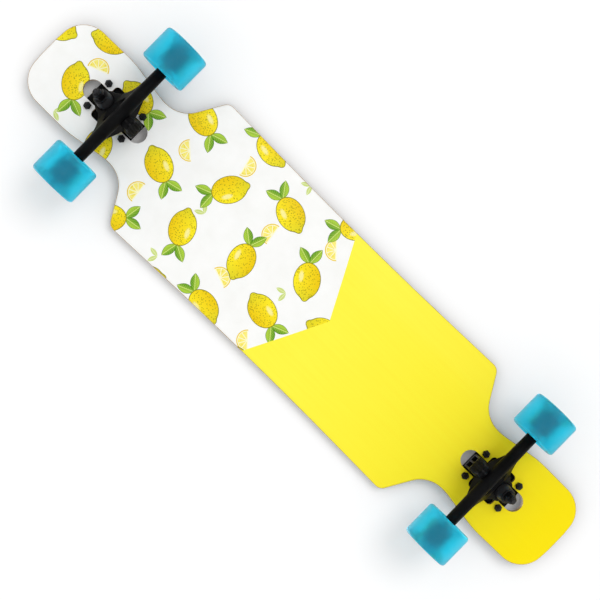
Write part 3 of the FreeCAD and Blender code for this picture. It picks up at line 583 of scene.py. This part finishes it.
def deck_finish():
    """Printed and yellow lacquer below, seven plies on the edge, clear maple above."""
    f = Finish("deck_maple", Coat_Weight=0.04, Coat_Roughness=0.15, Specular_IOR_Level=0.1)
    x, y, z = f.axes()
    slope = math.tan(math.radians(CONCAVE_ANGLE))
    rise = f.math("SMOOTH_MAX", (abs(y) - CONCAVE_START) * slope, 0.0, CONCAVE_BLEND)
    height = z - DECK_BELOW - rise
    fibre = f.noise(9.0, detail=6.0, rough=0.62, place=f.stretched(1.0, 22.0, 22.0))
    fine = f.noise(60.0, detail=4.0, rough=0.6, place=f.stretched(1.0, 26.0, 26.0))

    yellow = f.mix(f.between(x, PALE_LACQUER_AT, DEEP_LACQUER_AT), PALE_LACQUER, DEEP_LACQUER)
    yellow = f.mix(f.between(fibre, 0.35, 0.75, end=0.12), yellow, LACQUER_GRAIN)
    printed = x > abs(y) * PRINT_SLANT - PRINT_POINT
    paint = f.mix(printed, yellow, fruit_print(f, x, y))

    plies = height / PLY
    odd = f.math("FLOORED_MODULO", f.math("FLOOR", plies), 2.0)
    wood = f.mix(odd, PALE_PLY, DARK_PLY)
    wood = f.mix(f.between(fine, 0.35, 0.7, end=0.5), wood, PLY_GRAIN)
    seam = abs(plies - f.math("ROUND", plies))
    wood = f.mix(seam < GLUE_SHARE, wood, PLY_GLUE)
    veneer = f.mix(f.between(fibre, 0.3, 0.75), PALE_VENEER, DARK_VENEER)

    bare = height > LACQUER_WRAP
    colour = f.mix(bare, paint, wood)
    f.set("Base Color", f.mix(height > PLIES_UNDER_TOP * PLY, colour, veneer))
    f.set("Roughness", f.between(fine, 0.3, 0.7, start=0.3, end=0.42) + bare * 0.2)
    f.bump(fibre * 0.7 + fine * 0.3, distance=0.12 * MM, strength=0.35)
    return f.material


def grip_finish():
    """Black grit on paper: rough grains with a few that glint."""
    f = Finish("grip_grit", Specular_IOR_Level=0.3)
    grains = f.cells(1500.0)
    patches = f.noise(18.0, detail=4.0)
    draws = f.add("ShaderNodeSeparateColor", {"Color": f.cells(1700.0, "Color")})
    glint = Amount(f, draws.outputs[0]) > 0.98
    dark = f.mix(f.between(patches, 0.3, 0.7), grey(0.009, 0.010), grey(0.022, 0.024))
    dark = f.mix(f.between(grains, 0.1, 0.6), grey(0.035, 0.037), dark)
    f.set("Base Color", f.mix(glint, dark, grey(0.17, 0.175)))
    f.set("Roughness", f.between(patches, 0.3, 0.7, start=0.78, end=0.95))
    f.bump(grains + f.noise(900.0, detail=2.0) * 0.6, distance=0.5 * MM, strength=0.8)
    return f.material


def coat_finish():
    """Black baked coat on cast metal, thin enough to show the cast skin, its outer edges paler from rubbed wear
    and a painted highlight.
    """
    f = Finish("cast_black_coat", Specular_IOR_Level=0.08)
    skin = f.noise(520.0, rough=0.6)
    clouds = f.noise(34.0)
    edge = Amount(f, f.add("ShaderNodeAttribute", attribute_name="edge").outputs["Fac"])
    # Outer edges painted paler: partly rubbed wear, partly a painted highlight that picks out the form
    rubbed_and_painted_highlight = f.between(edge + f.noise(160.0, detail=4.0, rough=0.65) * 0.9, 0.75, 1.25)
    coat = f.mix(f.between(clouds, 0.35, 0.65), grey(0.0025, 0.0028), grey(0.005, 0.0055))
    f.set("Base Color", f.mix(rubbed_and_painted_highlight * 0.55, coat, grey(0.07, 0.073)))
    rough = f.between(clouds, 0.3, 0.7, start=0.36, end=0.5)
    rough = rough + f.between(skin, 0.3, 0.7, start=-0.05, end=0.05)
    f.set("Roughness", rough - rubbed_and_painted_highlight * 0.1)
    f.bump(skin, distance=0.25 * MM, strength=0.35)
    return f.material


def black_steel_finish():
    """Oil-blackened steel, a little worn."""
    f = Finish("black_steel", Metallic=0.85)
    worn = f.noise(210.0, detail=4.0, rough=0.65)
    f.set("Base Color", f.mix(f.between(worn, 0.58, 0.75), grey(0.022, 0.024), grey(0.11, 0.115)))
    f.set("Roughness", f.between(worn, 0.3, 0.7, start=0.32, end=0.48))
    f.bump(f.noise(1400.0, detail=2.0), distance=0.1 * MM, strength=0.25)
    return f.material


def plated_steel_finish(name, colour, clouded, smoothest, roughest):
    """Plated or ground steel with faint turning marks."""
    f = Finish(name, Metallic=1.0)
    marks = f.noise(30.0, detail=4.0, rough=0.6, place=f.stretched(6.0, 90.0, 6.0))
    clouds = f.noise(150.0)
    f.set("Base Color", f.mix(f.between(marks + clouds * 0.5, 0.5, 1.0), colour, clouded))
    f.set("Roughness", f.between(clouds, 0.3, 0.7, start=smoothest, end=roughest))
    f.bump(marks, distance=0.06 * MM, strength=0.3)
    return f.material


def urethane_finish():
    """Clear blue cast urethane, cloudy enough to blur the core inside it."""
    f = Finish("wheel_urethane", Transmission_Weight=0.85, IOR=1.45, Specular_IOR_Level=0.2)
    clouds = f.noise(60.0)
    ground = f.noise(40.0, rough=0.6, place=f.stretched(1.0, 14.0, 1.0))
    blue = f.mix(f.between(clouds, 0.3, 0.7), linear(0.008, 0.72, 0.97), linear(0.02, 0.77, 0.99))
    f.set("Base Color", blue)
    f.set("Roughness", f.between(clouds * 0.5 + ground * 0.5, 0.35, 0.65, start=0.34, end=0.46))
    f.bump(ground, distance=0.03 * MM, strength=0.2)
    return f.material


def moulded_finish(name, colour, clouded, smoothest, roughest):
    """Moulded plastic or rubber with a fine skin."""
    f = Finish(name, Specular_IOR_Level=0.4)
    skin = f.noise(700.0, rough=0.6)
    clouds = f.noise(45.0)
    f.set("Base Color", f.mix(f.between(clouds, 0.3, 0.7), colour, clouded))
    f.set("Roughness", f.between(skin, 0.3, 0.7, start=smoothest, end=roughest))
    f.bump(skin, distance=0.15 * MM, strength=0.3)
    return f.material


finishes = {
    "deck": deck_finish(),
    "grip": grip_finish(),
    "truck_casting": coat_finish(),
    "pivot_cup": moulded_finish(
        "pivot_cup_plastic", grey(0.03, 0.032), grey(0.045, 0.048), smoothest=0.5, roughest=0.65),
    "dark_steel": black_steel_finish(),
    "bushing": moulded_finish(
        "bushing_urethane", grey(0.016, 0.018), grey(0.028, 0.03), smoothest=0.38, roughest=0.52),
    "steel": plated_steel_finish(
        "zinc_steel", linear(0.66, 0.67, 0.69), linear(0.5, 0.51, 0.54), smoothest=0.24, roughest=0.38),
    "bearing_steel": plated_steel_finish(
        "bearing_steel", linear(0.72, 0.73, 0.75), linear(0.6, 0.61, 0.63), smoothest=0.14, roughest=0.26),
    "bearing_shield": plated_steel_finish(
        "shield_steel", linear(0.46, 0.47, 0.5), linear(0.36, 0.37, 0.4), smoothest=0.3, roughest=0.42),
    "wheel_urethane": urethane_finish(),
    "wheel_core": moulded_finish(
        "core_plastic", tone(26, 84, 108), tone(18, 66, 88), smoothest=0.45, roughest=0.6),
}
nylon = moulded_finish("nut_nylon", grey(0.02, 0.022), grey(0.035, 0.037), smoothest=0.4, roughest=0.55)

node_slots = {part["node"]: part["material_slot"] for part in frame["record"]["subparts"]}
for name, node in frame["nodes"].items():
    node.data.materials.clear()
    node.data.materials.append(finishes[node_slots[name]])


# Making and placing pieces

def show(name, mesh):
    piece = bpy.data.objects.new(name, mesh)
    bpy.context.scene.collection.objects.link(piece)
    return piece


def settled(piece):
    """Turns a piece's modifiers into its plain mesh."""
    shown = piece.evaluated_get(bpy.context.evaluated_depsgraph_get())
    mesh = bpy.data.meshes.new_from_object(shown)
    mesh.name = piece.name
    piece.modifiers.clear()
    piece.data = mesh


def place_in(piece, body, slot, *nodes):
    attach(piece, body)
    if nodes:
        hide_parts(*nodes)


def smooth(mesh, crease=180.0):
    """Shades a mesh smoothly, with a sharp edge where its faces meet at more than the crease's angle."""
    for face in mesh.polygons:
        face.use_smooth = True
    mesh.set_sharp_from_angle(angle=math.radians(crease))


def lathe(profile, steps=STEPS, hollow=True):
    """A mesh turned about Z from (radius, height) pairs, either of which may change with the angle.
    A hollow piece closes its last pair to its first, and a solid one has flat ends."""
    shape = bmesh.new()
    rings = []
    for radius, height in profile:
        ring = []
        for step in range(steps):
            angle = math.tau * step / steps
            r = radius(angle) if callable(radius) else radius
            h = height(angle) if callable(height) else height
            ring.append(shape.verts.new((r * math.cos(angle) * MM, r * math.sin(angle) * MM, h * MM)))
        rings.append(ring)
    following = rings[1:] + rings[:1] if hollow else rings[1:]
    for first, second in zip(rings, following):
        for step in range(steps):
            after = (step + 1) % steps
            shape.faces.new((first[step], first[after], second[after], second[step]))
    if not hollow:
        for ring in (rings[0], rings[-1]):
            shape.faces.new(ring)
    bmesh.ops.recalc_face_normals(shape, faces=shape.faces)
    mesh = bpy.data.meshes.new("turned")
    shape.to_mesh(mesh)
    shape.free()
    return mesh


def turned_piece(name, mesh, spot, slot, body, node):
    mesh.transform(spot)
    smooth(mesh, TURNED_CREASE)
    mesh.materials.append(finishes[slot])
    place_in(show(name, mesh), body, slot, node)


def kingpin_frame(end, side):
    """The ring's frame: X along the steering line, Z along the kingpin towards the deck."""
    steer = joint(end + "_steer")
    along = Vector(steer["axis"]).normalized()
    across = Vector((0, side, 0))
    up = along.cross(across)
    turn = Matrix((along, across, up)).transposed().to_4x4()
    return Matrix.Translation(Vector(steer["pos_m"])) @ turn


# Castings

def mark_edges(mesh, spacing):
    """Writes how far each point stands out from its neighbours: 0 on a flat, about 1 on an edge."""
    shape = bmesh.new()
    shape.from_mesh(mesh)
    marks = []
    for point in shape.verts:
        around = [edge.other_vert(point).co for edge in point.link_edges]
        inward = sum(around, Vector()) / len(around) - point.co
        marks.append(-EDGE_GAIN * inward.dot(point.normal) / spacing)
    shape.free()
    mesh.attributes.new("edge", "FLOAT", "POINT").data.foreach_set("value", marks)


def tower_ribs(end, side):
    """Blocks for three ribs along the pivot tower's boss and down its end, each as a place and size."""
    blocks = []
    spot = kingpin_frame(end, side)
    for across in (-RIB_STEP, 0.0, RIB_STEP):
        crest = -math.sqrt(BOSS_RADIUS ** 2 - across ** 2) - RIB_RISE
        tip = -BOSS_END - RIB_RISE
        along_boss = (tip, -BOSS_MOUTH), (crest, crest + RIB_DEPTH)
        down_end = (tip, tip + RIB_DEPTH), (crest, BOSS_RADIUS * RIB_FOOT_SHARE)
        for (x0, x1), (z0, z1) in (along_boss, down_end):
            middle = Vector(((x0 + x1) / 2, across, (z0 + z1) / 2)) * MM
            size = Vector((x1 - x0, RIB_WIDTH, z1 - z0)) * MM
            blocks.append(spot @ Matrix.LocRotScale(middle, None, size))
    return blocks


def casting(node, body, blocks=()):
    """The node's own shape, with any blocks added to it, and with the soft corners of a casting."""
    mesh = frame["nodes"][node].data.copy()
    shape = bmesh.new()
    shape.from_mesh(mesh)
    bmesh.ops.remove_doubles(shape, verts=shape.verts, dist=CAST_MERGE * MM)
    for block in blocks:
        bmesh.ops.create_cube(shape, size=1.0, matrix=block)
    shape.to_mesh(mesh)
    shape.free()
    piece = show(node + "_casting", mesh)
    skin = piece.modifiers.new("skin", "REMESH")
    skin.mode = "VOXEL"
    skin.voxel_size = CAST_SPACING * MM
    corners = piece.modifiers.new("corners", "SMOOTH")
    corners.factor = CAST_SOFTENING
    corners.iterations = CAST_PASSES
    settled(piece)
    smooth(piece.data)
    mark_edges(piece.data, CAST_SPACING * MM)
    place_in(piece, body, "truck_casting", node)


# Bushings

def bulge(low, high, start, end, swell):
    """A side from (start radius, low) to (end radius, high) that swells out between them."""
    points = []
    for step in range(SWELL_STEPS + 1):
        share = step / SWELL_STEPS
        radius = start + (end - start) * share + swell * math.sin(math.pi * share) ** SWELL_POWER
        points.append((radius, low + (high - low) * share))
    return points


def bushing_profile(size):
    low_in, low_along = size.low_edge
    high_in, high_along = size.high_edge
    foot = [(BUSHING_BORE, size.low), (size.low_radius - low_in, size.low)]
    side = bulge(size.low + low_along, size.high - high_along, size.low_radius, size.high_radius, size.swell)
    top = [(size.high_radius - high_in, size.high), (BUSHING_BORE, size.high)]
    return foot + side + top


def bushing(end, side, name, size):
    """A turned bushing about the kingpin, between two levels of the ring, in place of the CAD bushing."""
    mesh = lathe(bushing_profile(size), FINE_STEPS)
    spot = kingpin_frame(end, side)
    mesh.transform(spot)
    smooth(mesh, BUSHING_CREASE)
    mesh.materials.append(finishes["bushing"])
    piece = show(f"{end}_{name}_urethane", mesh)
    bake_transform(piece)
    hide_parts(f"{end}_{name}")


# Fasteners, axles and shields

def hexagon(width):
    """The radius of a hexagon of that width across its flats, by angle."""
    return lambda angle: width / 2 / math.cos(angle % (math.pi / 3) - math.pi / 6)


def hexagon_prism(width, low, high):
    """The side of a hexagon bar whose corners are turned away at both ends."""
    flat = hexagon(width)
    face = width * HEXAGON_FACE_SHARE

    def drop(angle):
        return (flat(angle) - face) * HEXAGON_BEVEL

    def low_edge(angle):
        return low + drop(angle)

    def high_edge(angle):
        return high - drop(angle)

    return [(face, low), (flat, low_edge), (flat, high_edge), (face, high)]


def thread(radius, low, pitch, turns):
    """The outline of a screw thread, from its lowest crest up."""
    points = []
    for turn in range(turns):
        level = low + turn * pitch
        points += [(radius, level), (radius - pitch * THREAD_DEPTH_SHARE, level + pitch / 2)]
    return points + [(radius, low + turns * pitch)]


def nut(size):
    """A hexagon nut on the level 0 with a round collar, crimped over a soft ring."""
    top = size.height
    hexagon_top = size.height * HEXAGON_SHARE
    collar = size.width * COLLAR_SHARE
    crimp = [
        (collar, hexagon_top),
        (collar, top - CRIMP_ROUND),
        (collar - CRIMP_SHOULDER_IN, top - CRIMP_SHOULDER_DOWN),
        (collar - CRIMP_ROUND, top),
        (size.bore + CRIMP_LIP, top - CRIMP_LIP_DOWN),
        (size.bore + CRIMP_MOUTH, top - CRIMP_DEPTH),
        (size.bore, top - CRIMP_DEPTH),
    ]
    return lathe([(size.bore, 0.0)] + hexagon_prism(size.width, 0.0, hexagon_top) + crimp)


def soft_ring(size):
    """The ring that a nut's collar is crimped over."""
    top = size.height
    outer = size.width * COLLAR_SHARE - RING_INSET
    return lathe([
        (size.bore, top - RING_FOOT_DOWN),
        (outer, top - RING_FOOT_DOWN),
        (outer, top - RING_TOP_DOWN),
        (size.bore + RING_LIP, top - RING_LIP_DOWN),
        (size.bore, top - RING_MOUTH_DOWN),
    ])


def mounting_bolt():
    """A bolt with a round head on the level 0, a hexagon socket in it and a threaded tail."""
    tail = [(BOLT_RADIUS - BOLT_BEVEL, -BOLT_LENGTH)]
    tail += thread(BOLT_RADIUS, BOLT_BEVEL - BOLT_LENGTH, BOLT_PITCH, BOLT_TURNS)
    dome = [(BOLT_RADIUS, 0.0), (BOLT_HEAD_RADIUS, 0.0)]
    for angle in BOLT_HEAD_ANGLES:
        radius = BOLT_HEAD_RADIUS - BOLT_HEAD_ROUND + BOLT_HEAD_ROUND * math.cos(angle)
        level = BOLT_HEAD_HEIGHT - BOLT_HEAD_ROUND + BOLT_HEAD_ROUND * math.sin(angle)
        dome.append((radius, level))
    wall = hexagon(SOCKET_WIDTH)
    socket = [
        (SOCKET_RIM, BOLT_HEAD_HEIGHT),
        (wall, BOLT_HEAD_HEIGHT - SOCKET_BEVEL),
        (wall, SOCKET_FLOOR),
    ]
    return lathe(tail + dome + socket, hollow=False)


def kingpin():
    """A bolt along Z with its head towards the deck, about the middle of the ring."""
    tail = [(KINGPIN_TIP_RADIUS, KINGPIN_TIP)]
    tail += thread(KINGPIN_RADIUS, KINGPIN_TIP + KINGPIN_TIP_BEVEL, KINGPIN_PITCH, KINGPIN_TURNS)
    shank = [(KINGPIN_RADIUS, KINGPIN_HEAD_FOOT)]
    head = hexagon_prism(KINGPIN_HEAD_WIDTH, KINGPIN_HEAD_FOOT, KINGPIN_HEAD_TOP)
    dish = [
        (HEAD_DISH_RADIUS, KINGPIN_HEAD_TOP),
        (HEAD_DISH_RADIUS - HEAD_DISH_DEPTH, KINGPIN_HEAD_TOP - HEAD_DISH_DEPTH),
    ]
    return lathe(tail + shank + head + dish, FINE_STEPS, hollow=False)


def axle(half_length):
    """A rod along Z with a thread at each end."""
    tail = [(AXLE_TIP_RADIUS, -half_length)]
    tail += thread(AXLE_RADIUS, AXLE_TIP_BEVEL - half_length, AXLE_PITCH, AXLE_TURNS)
    far_tail = [(radius, -level) for radius, level in tail]
    return lathe(far_tail + tail[::-1], hollow=False)


def bearing_shield():
    """A pressed ring that stands on the level 0, with a clip round its edge."""
    return lathe([
        (SHIELD_INNER, 0.0),
        (SHIELD_OUTER, 0.0),
        (SHIELD_OUTER, CLIP_LEVEL),
        (SHIELD_CLIP, CLIP_LEVEL),
        (SHIELD_GROOVE_OUTER, GROOVE_LEVEL),
        (SHIELD_GROOVE_INNER, GROOVE_LEVEL),
        (SHIELD_CROWN_OUTER, CROWN_LEVEL),
        (SHIELD_CROWN_INNER, CROWN_LEVEL),
        (SHIELD_LIP, LIP_LEVEL),
        (SHIELD_INNER, LIP_LEVEL),
    ], FINE_STEPS)


# Rows of equal pieces

def rows_of_pieces():
    """Node tree that sets one piece on each point, its Z along the point's facing, each turned by chance."""
    tree = bpy.data.node_groups.new("rows_of_pieces", "GeometryNodeTree")
    sockets = {
        "Geometry": "NodeSocketGeometry",
        "Piece": "NodeSocketObject",
        "Finish": "NodeSocketMaterial",
        "Most Turn": "NodeSocketFloat",
        "Seed": "NodeSocketInt",
    }
    for name, kind in sockets.items():
        tree.interface.new_socket(name, in_out="INPUT", socket_type=kind)
    tree.interface.new_socket("Geometry", in_out="OUTPUT", socket_type="NodeSocketGeometry")

    def add(kind, inputs=(), **settings):
        return add_node(tree, kind, inputs, **settings)

    given = add("NodeGroupInput").outputs
    facing = add("GeometryNodeInputNamedAttribute", {"Name": "facing"}, data_type="FLOAT_VECTOR")
    upright = add("FunctionNodeAlignRotationToVector", {"Vector": facing.outputs["Attribute"]}, axis="Z")
    chance = add("FunctionNodeRandomValue", {3: given["Most Turn"], "Seed": given["Seed"]}, data_type="FLOAT")
    spin = add("FunctionNodeAxisAngleToRotation", {"Axis": (0, 0, 1), "Angle": chance.outputs[1]})
    rotations = {"Rotation": upright.outputs[0], "Rotate By": spin.outputs[0]}
    turn = add("FunctionNodeRotateRotation", rotations, rotation_space="LOCAL")
    piece = add("GeometryNodeObjectInfo", {"Object": given["Piece"]}).outputs["Geometry"]
    places = {"Points": given["Geometry"], "Instance": piece, "Rotation": turn.outputs[0]}
    rows = add("GeometryNodeInstanceOnPoints", places)
    real = add("GeometryNodeRealizeInstances", {"Geometry": rows.outputs[0]})
    painted = add("GeometryNodeSetMaterial", {"Geometry": real.outputs[0], "Material": given["Finish"]})
    add("NodeGroupOutput", {"Geometry": painted.outputs[0]})
    return tree


pieces_tree = rows_of_pieces()


def row(name, piece_mesh, places, slot, body, *nodes, finish=None, seed=1):
    """One mesh of equal pieces, each set at a place and along its facing."""
    smooth(piece_mesh, TURNED_CREASE)
    model = show("model_piece", piece_mesh)
    points = bpy.data.meshes.new(name)
    points.from_pydata([place for place, facing in places], [], [])
    facings = points.attributes.new("facing", "FLOAT_VECTOR", "POINT")
    for value, (place, facing) in zip(facings.data, places):
        value.vector = facing
    piece = show(name, points)
    modifier = piece.modifiers.new("rows", "NODES")
    modifier.node_group = pieces_tree
    given = {"Piece": model, "Finish": finish or finishes[slot], "Most Turn": MOST_TURN, "Seed": seed}
    for item in pieces_tree.interface.items_tree:
        if item.in_out == "INPUT" and item.name in given:
            modifier[item.identifier] = given[item.name]
    settled(piece)
    bpy.data.objects.remove(model)
    place_in(piece, body, slot, *nodes)


def nuts(name, rings_name, size, places, slot, body, node, seed):
    """A row of nuts and a row of the soft rings in them."""
    row(name, nut(size), places, slot, body, node, seed=seed)
    row(rings_name, soft_ring(size), places, "pivot_cup", body, finish=nylon)


def bolt_places(end, height, facing):
    """The four bolt places of a truck, about the middle of its nuts."""
    node = end + "_mounting_nuts"
    middle = (lowest(node).x + highest(node).x) / 2
    places = []
    for x in (middle - BOLTS_ALONG / 2, middle + BOLTS_ALONG / 2):
        for y in (-BOLTS_ACROSS / 2, BOLTS_ACROSS / 2):
            places.append((Vector((x, y, height)) * MM, (0, 0, facing)))
    return places


def shield_places(wheel):
    """Both faces of the two bearings of a wheel, whose outer rings are as far apart as the CAD has them."""
    hub = Vector(joint(wheel + "_spin")["pos_m"])
    rings = wheel + "_bearing_outer_rings"
    offset = (highest(rings).y - lowest(rings).y - BEARING_WIDTH) / 2
    seat = BEARING_WIDTH / 2 - SHIELD_RECESS - CLIP_LEVEL
    places = []
    for bearing in (-1, 1):
        for face in (-1, 1):
            outward = Vector((0, bearing * offset + face * seat, 0)) * MM
            places.append((hub + outward, (0, face, 0)))
    return places


def truck(end, side, seed):
    """The castings, bushings, bolts, nuts, axle and bearing shields of one truck and its wheels."""
    hanger = end + "_hanger"
    casting(end + "_baseplate", "deck", tower_ribs(end, side))
    casting(hanger, hanger)
    bushing(end, side, "boardside_bushing", BARREL)
    bushing(end, side, "roadside_bushing", CONE)

    ring = kingpin_frame(end, side)
    turned_piece(end + "_kingpin_bolt", kingpin(), ring, "dark_steel", "deck", end + "_kingpin")
    left_hub = Vector(joint(end + "_left_spin")["pos_m"])
    across = Matrix.Translation((left_hub.x, 0, left_hub.z)) @ Matrix.Rotation(math.pi / 2, 4, "X")
    rod = axle(highest(end + "_axle").y)
    turned_piece(end + "_axle_rod", rod, across, "steel", hanger, end + "_axle")

    under = bolt_places(end, DECK_BELOW, -1)
    over = bolt_places(end, highest(end + "_baseplate").z, 1)
    nuts(end + "_nuts", end + "_nut_rings", MOUNTING_NUT, under,
         "dark_steel", "deck", end + "_mounting_nuts", seed)
    row(end + "_bolts", mounting_bolt(), over,
        "dark_steel", "deck", end + "_mounting_bolts", seed=seed + 1)

    foot = ring @ Vector((0, 0, KINGPIN_NUT_FOOT * MM))
    below = [(foot, ring.to_3x3() @ Vector((0, 0, -1)))]
    nuts(end + "_big_nut", end + "_big_nut_ring", KINGPIN_NUT, below,
         "dark_steel", "deck", end + "_kingpin_nut", seed + 2)

    nut_seat = (highest(end + "_axle_nuts").y - AXLE_NUT.height) * MM
    tips = [(Vector((left_hub.x, hand * nut_seat, left_hub.z)), (0, hand, 0)) for hand in (-1, 1)]
    nuts(end + "_wheel_nuts", end + "_wheel_nut_rings", AXLE_NUT, tips,
         "steel", hanger, end + "_axle_nuts", seed + 3)

    for wheel in (end + "_left", end + "_right"):
        row(wheel + "_shields", bearing_shield(), shield_places(wheel),
            "bearing_shield", wheel + "_wheel", wheel + "_bearing_shields")


truck("front", side=1.0, seed=3)
truck("rear", side=-1.0, seed=40)


# Camera, light and stage

def camera():
    """Below the board, a little towards the nose, with the nose at the upper left."""
    data = bpy.data.cameras.new("camera")
    data.lens = LENS
    data.sensor_width = SENSOR
    view = bpy.data.objects.new("camera", data)
    bpy.context.scene.collection.objects.link(view)
    back = (EYE - TARGET).normalized()
    right = UPWARDS.cross(back).normalized()
    turn = Matrix((right, back.cross(right), back)).transposed().to_4x4()
    view.matrix_world = Matrix.Translation(EYE) @ turn
    bpy.context.scene.camera = view


def sun(name, strength, angle, direction):
    data = bpy.data.lights.new(name, "SUN")
    data.energy = strength
    data.angle = math.radians(angle)
    lamp = bpy.data.objects.new(name, data)
    lamp.rotation_euler = Vector(direction).to_track_quat("-Z", "Y").to_euler()
    bpy.context.scene.collection.objects.link(lamp)


def bounced(tree, path, kind, comparison, bounces):
    """1 for a ray of that kind whose count of bounces off matt surfaces compares so."""
    counted = combined(tree, comparison, path["Diffuse Depth"], bounces)
    return combined(tree, "MULTIPLY", counted, path[kind])


def studio_world():
    """A plain white room that shows dimmer under the floor."""
    world = bpy.data.worlds.new("studio")
    world.use_nodes = True
    tree = world.node_tree
    room = tree.nodes["Background"]
    feed(tree, room.inputs["Color"], WHITE)
    feed(tree, room.inputs["Strength"], ROOM_LIGHT)
    direction = add_node(tree, "ShaderNodeTexCoord").outputs["Generated"]
    height = add_node(tree, "ShaderNodeSeparateXYZ", {"Vector": direction}).outputs["Z"]
    dimming = {
        "Value": height,
        "From Min": DIM_FROM,
        "From Max": BRIGHT_FROM,
        "To Min": ROOM_DIM,
        "To Max": ROOM_BRIGHT,
    }
    level = add_node(tree, "ShaderNodeMapRange", dimming).outputs["Result"]
    seen = add_node(tree, "ShaderNodeBackground", {"Color": WHITE, "Strength": level})
    path = add_node(tree, "ShaderNodeLightPath").outputs
    shown = path["Is Camera Ray"]
    for kind in ("Is Transmission Ray", "Is Glossy Ray"):
        shown = combined(tree, "MAXIMUM", shown, path[kind])
    mix = add_node(tree, "ShaderNodeMixShader", {0: shown, 1: room.outputs[0], 2: seen.outputs[0]})
    feed(tree, tree.nodes["World Output"].inputs["Surface"], mix.outputs[0])
    bpy.context.scene.world = world


def paper():
    """Matt white that shows from its front only, and lets the light through to what the camera sees."""
    material = bpy.data.materials.new("white_paper")
    material.use_nodes = True
    tree = material.node_tree
    tree.nodes.clear()
    matt = add_node(tree, "ShaderNodeBsdfDiffuse", {"Color": linear(PAPER_WHITE, PAPER_WHITE, PAPER_WHITE)})
    glow = add_node(tree, "ShaderNodeEmission", {"Strength": PAPER_GLOW})
    sheet = add_node(tree, "ShaderNodeAddShader", {0: matt.outputs[0], 1: glow.outputs[0]})
    clear = add_node(tree, "ShaderNodeBsdfTransparent")
    path = add_node(tree, "ShaderNodeLightPath").outputs
    hidden = add_node(tree, "ShaderNodeNewGeometry").outputs["Backfacing"]
    rays = (
        ("Is Shadow Ray", "LESS_THAN", 0.5),
        ("Is Diffuse Ray", "LESS_THAN", 1.5),
        ("Is Transmission Ray", "GREATER_THAN", 0.5),
    )
    for kind, comparison, bounces in rays:
        hidden = combined(tree, "MAXIMUM", hidden, bounced(tree, path, kind, comparison, bounces))
    mix = add_node(tree, "ShaderNodeMixShader", {0: hidden, 1: sheet.outputs[0], 2: clear.outputs[0]})
    add_node(tree, "ShaderNodeOutputMaterial", {"Surface": mix.outputs[0]})
    return material


def sheet_of_paper(name, height, facing, material):
    half = PAPER_HALF
    corners = [(-half, -half, height), (half, -half, height), (half, half, height), (-half, half, height)]
    mesh = bpy.data.meshes.new(name)
    mesh.from_pydata(corners, [], [(0, 1, 2, 3) if facing > 0 else (3, 2, 1, 0)])
    mesh.materials.append(material)
    show(name, mesh)


camera()
studio_world()
sun("key_from_above", strength=1.55, angle=40.0, direction=(-0.35, 0.45, -1.0))
sun("key_from_below", strength=0.6, angle=30.0, direction=(0.12, -0.6, 1.0))
sun("fill_from_below", strength=1.2, angle=140.0, direction=(-0.1, 0.3, 1.0))
white = paper()
sheet_of_paper("floor", 0.0, 1, white)
sheet_of_paper("backdrop", cad_box[1][2] + BACKDROP_GAP, -1, white)
bpy.context.scene.view_settings.view_transform = "Standard"
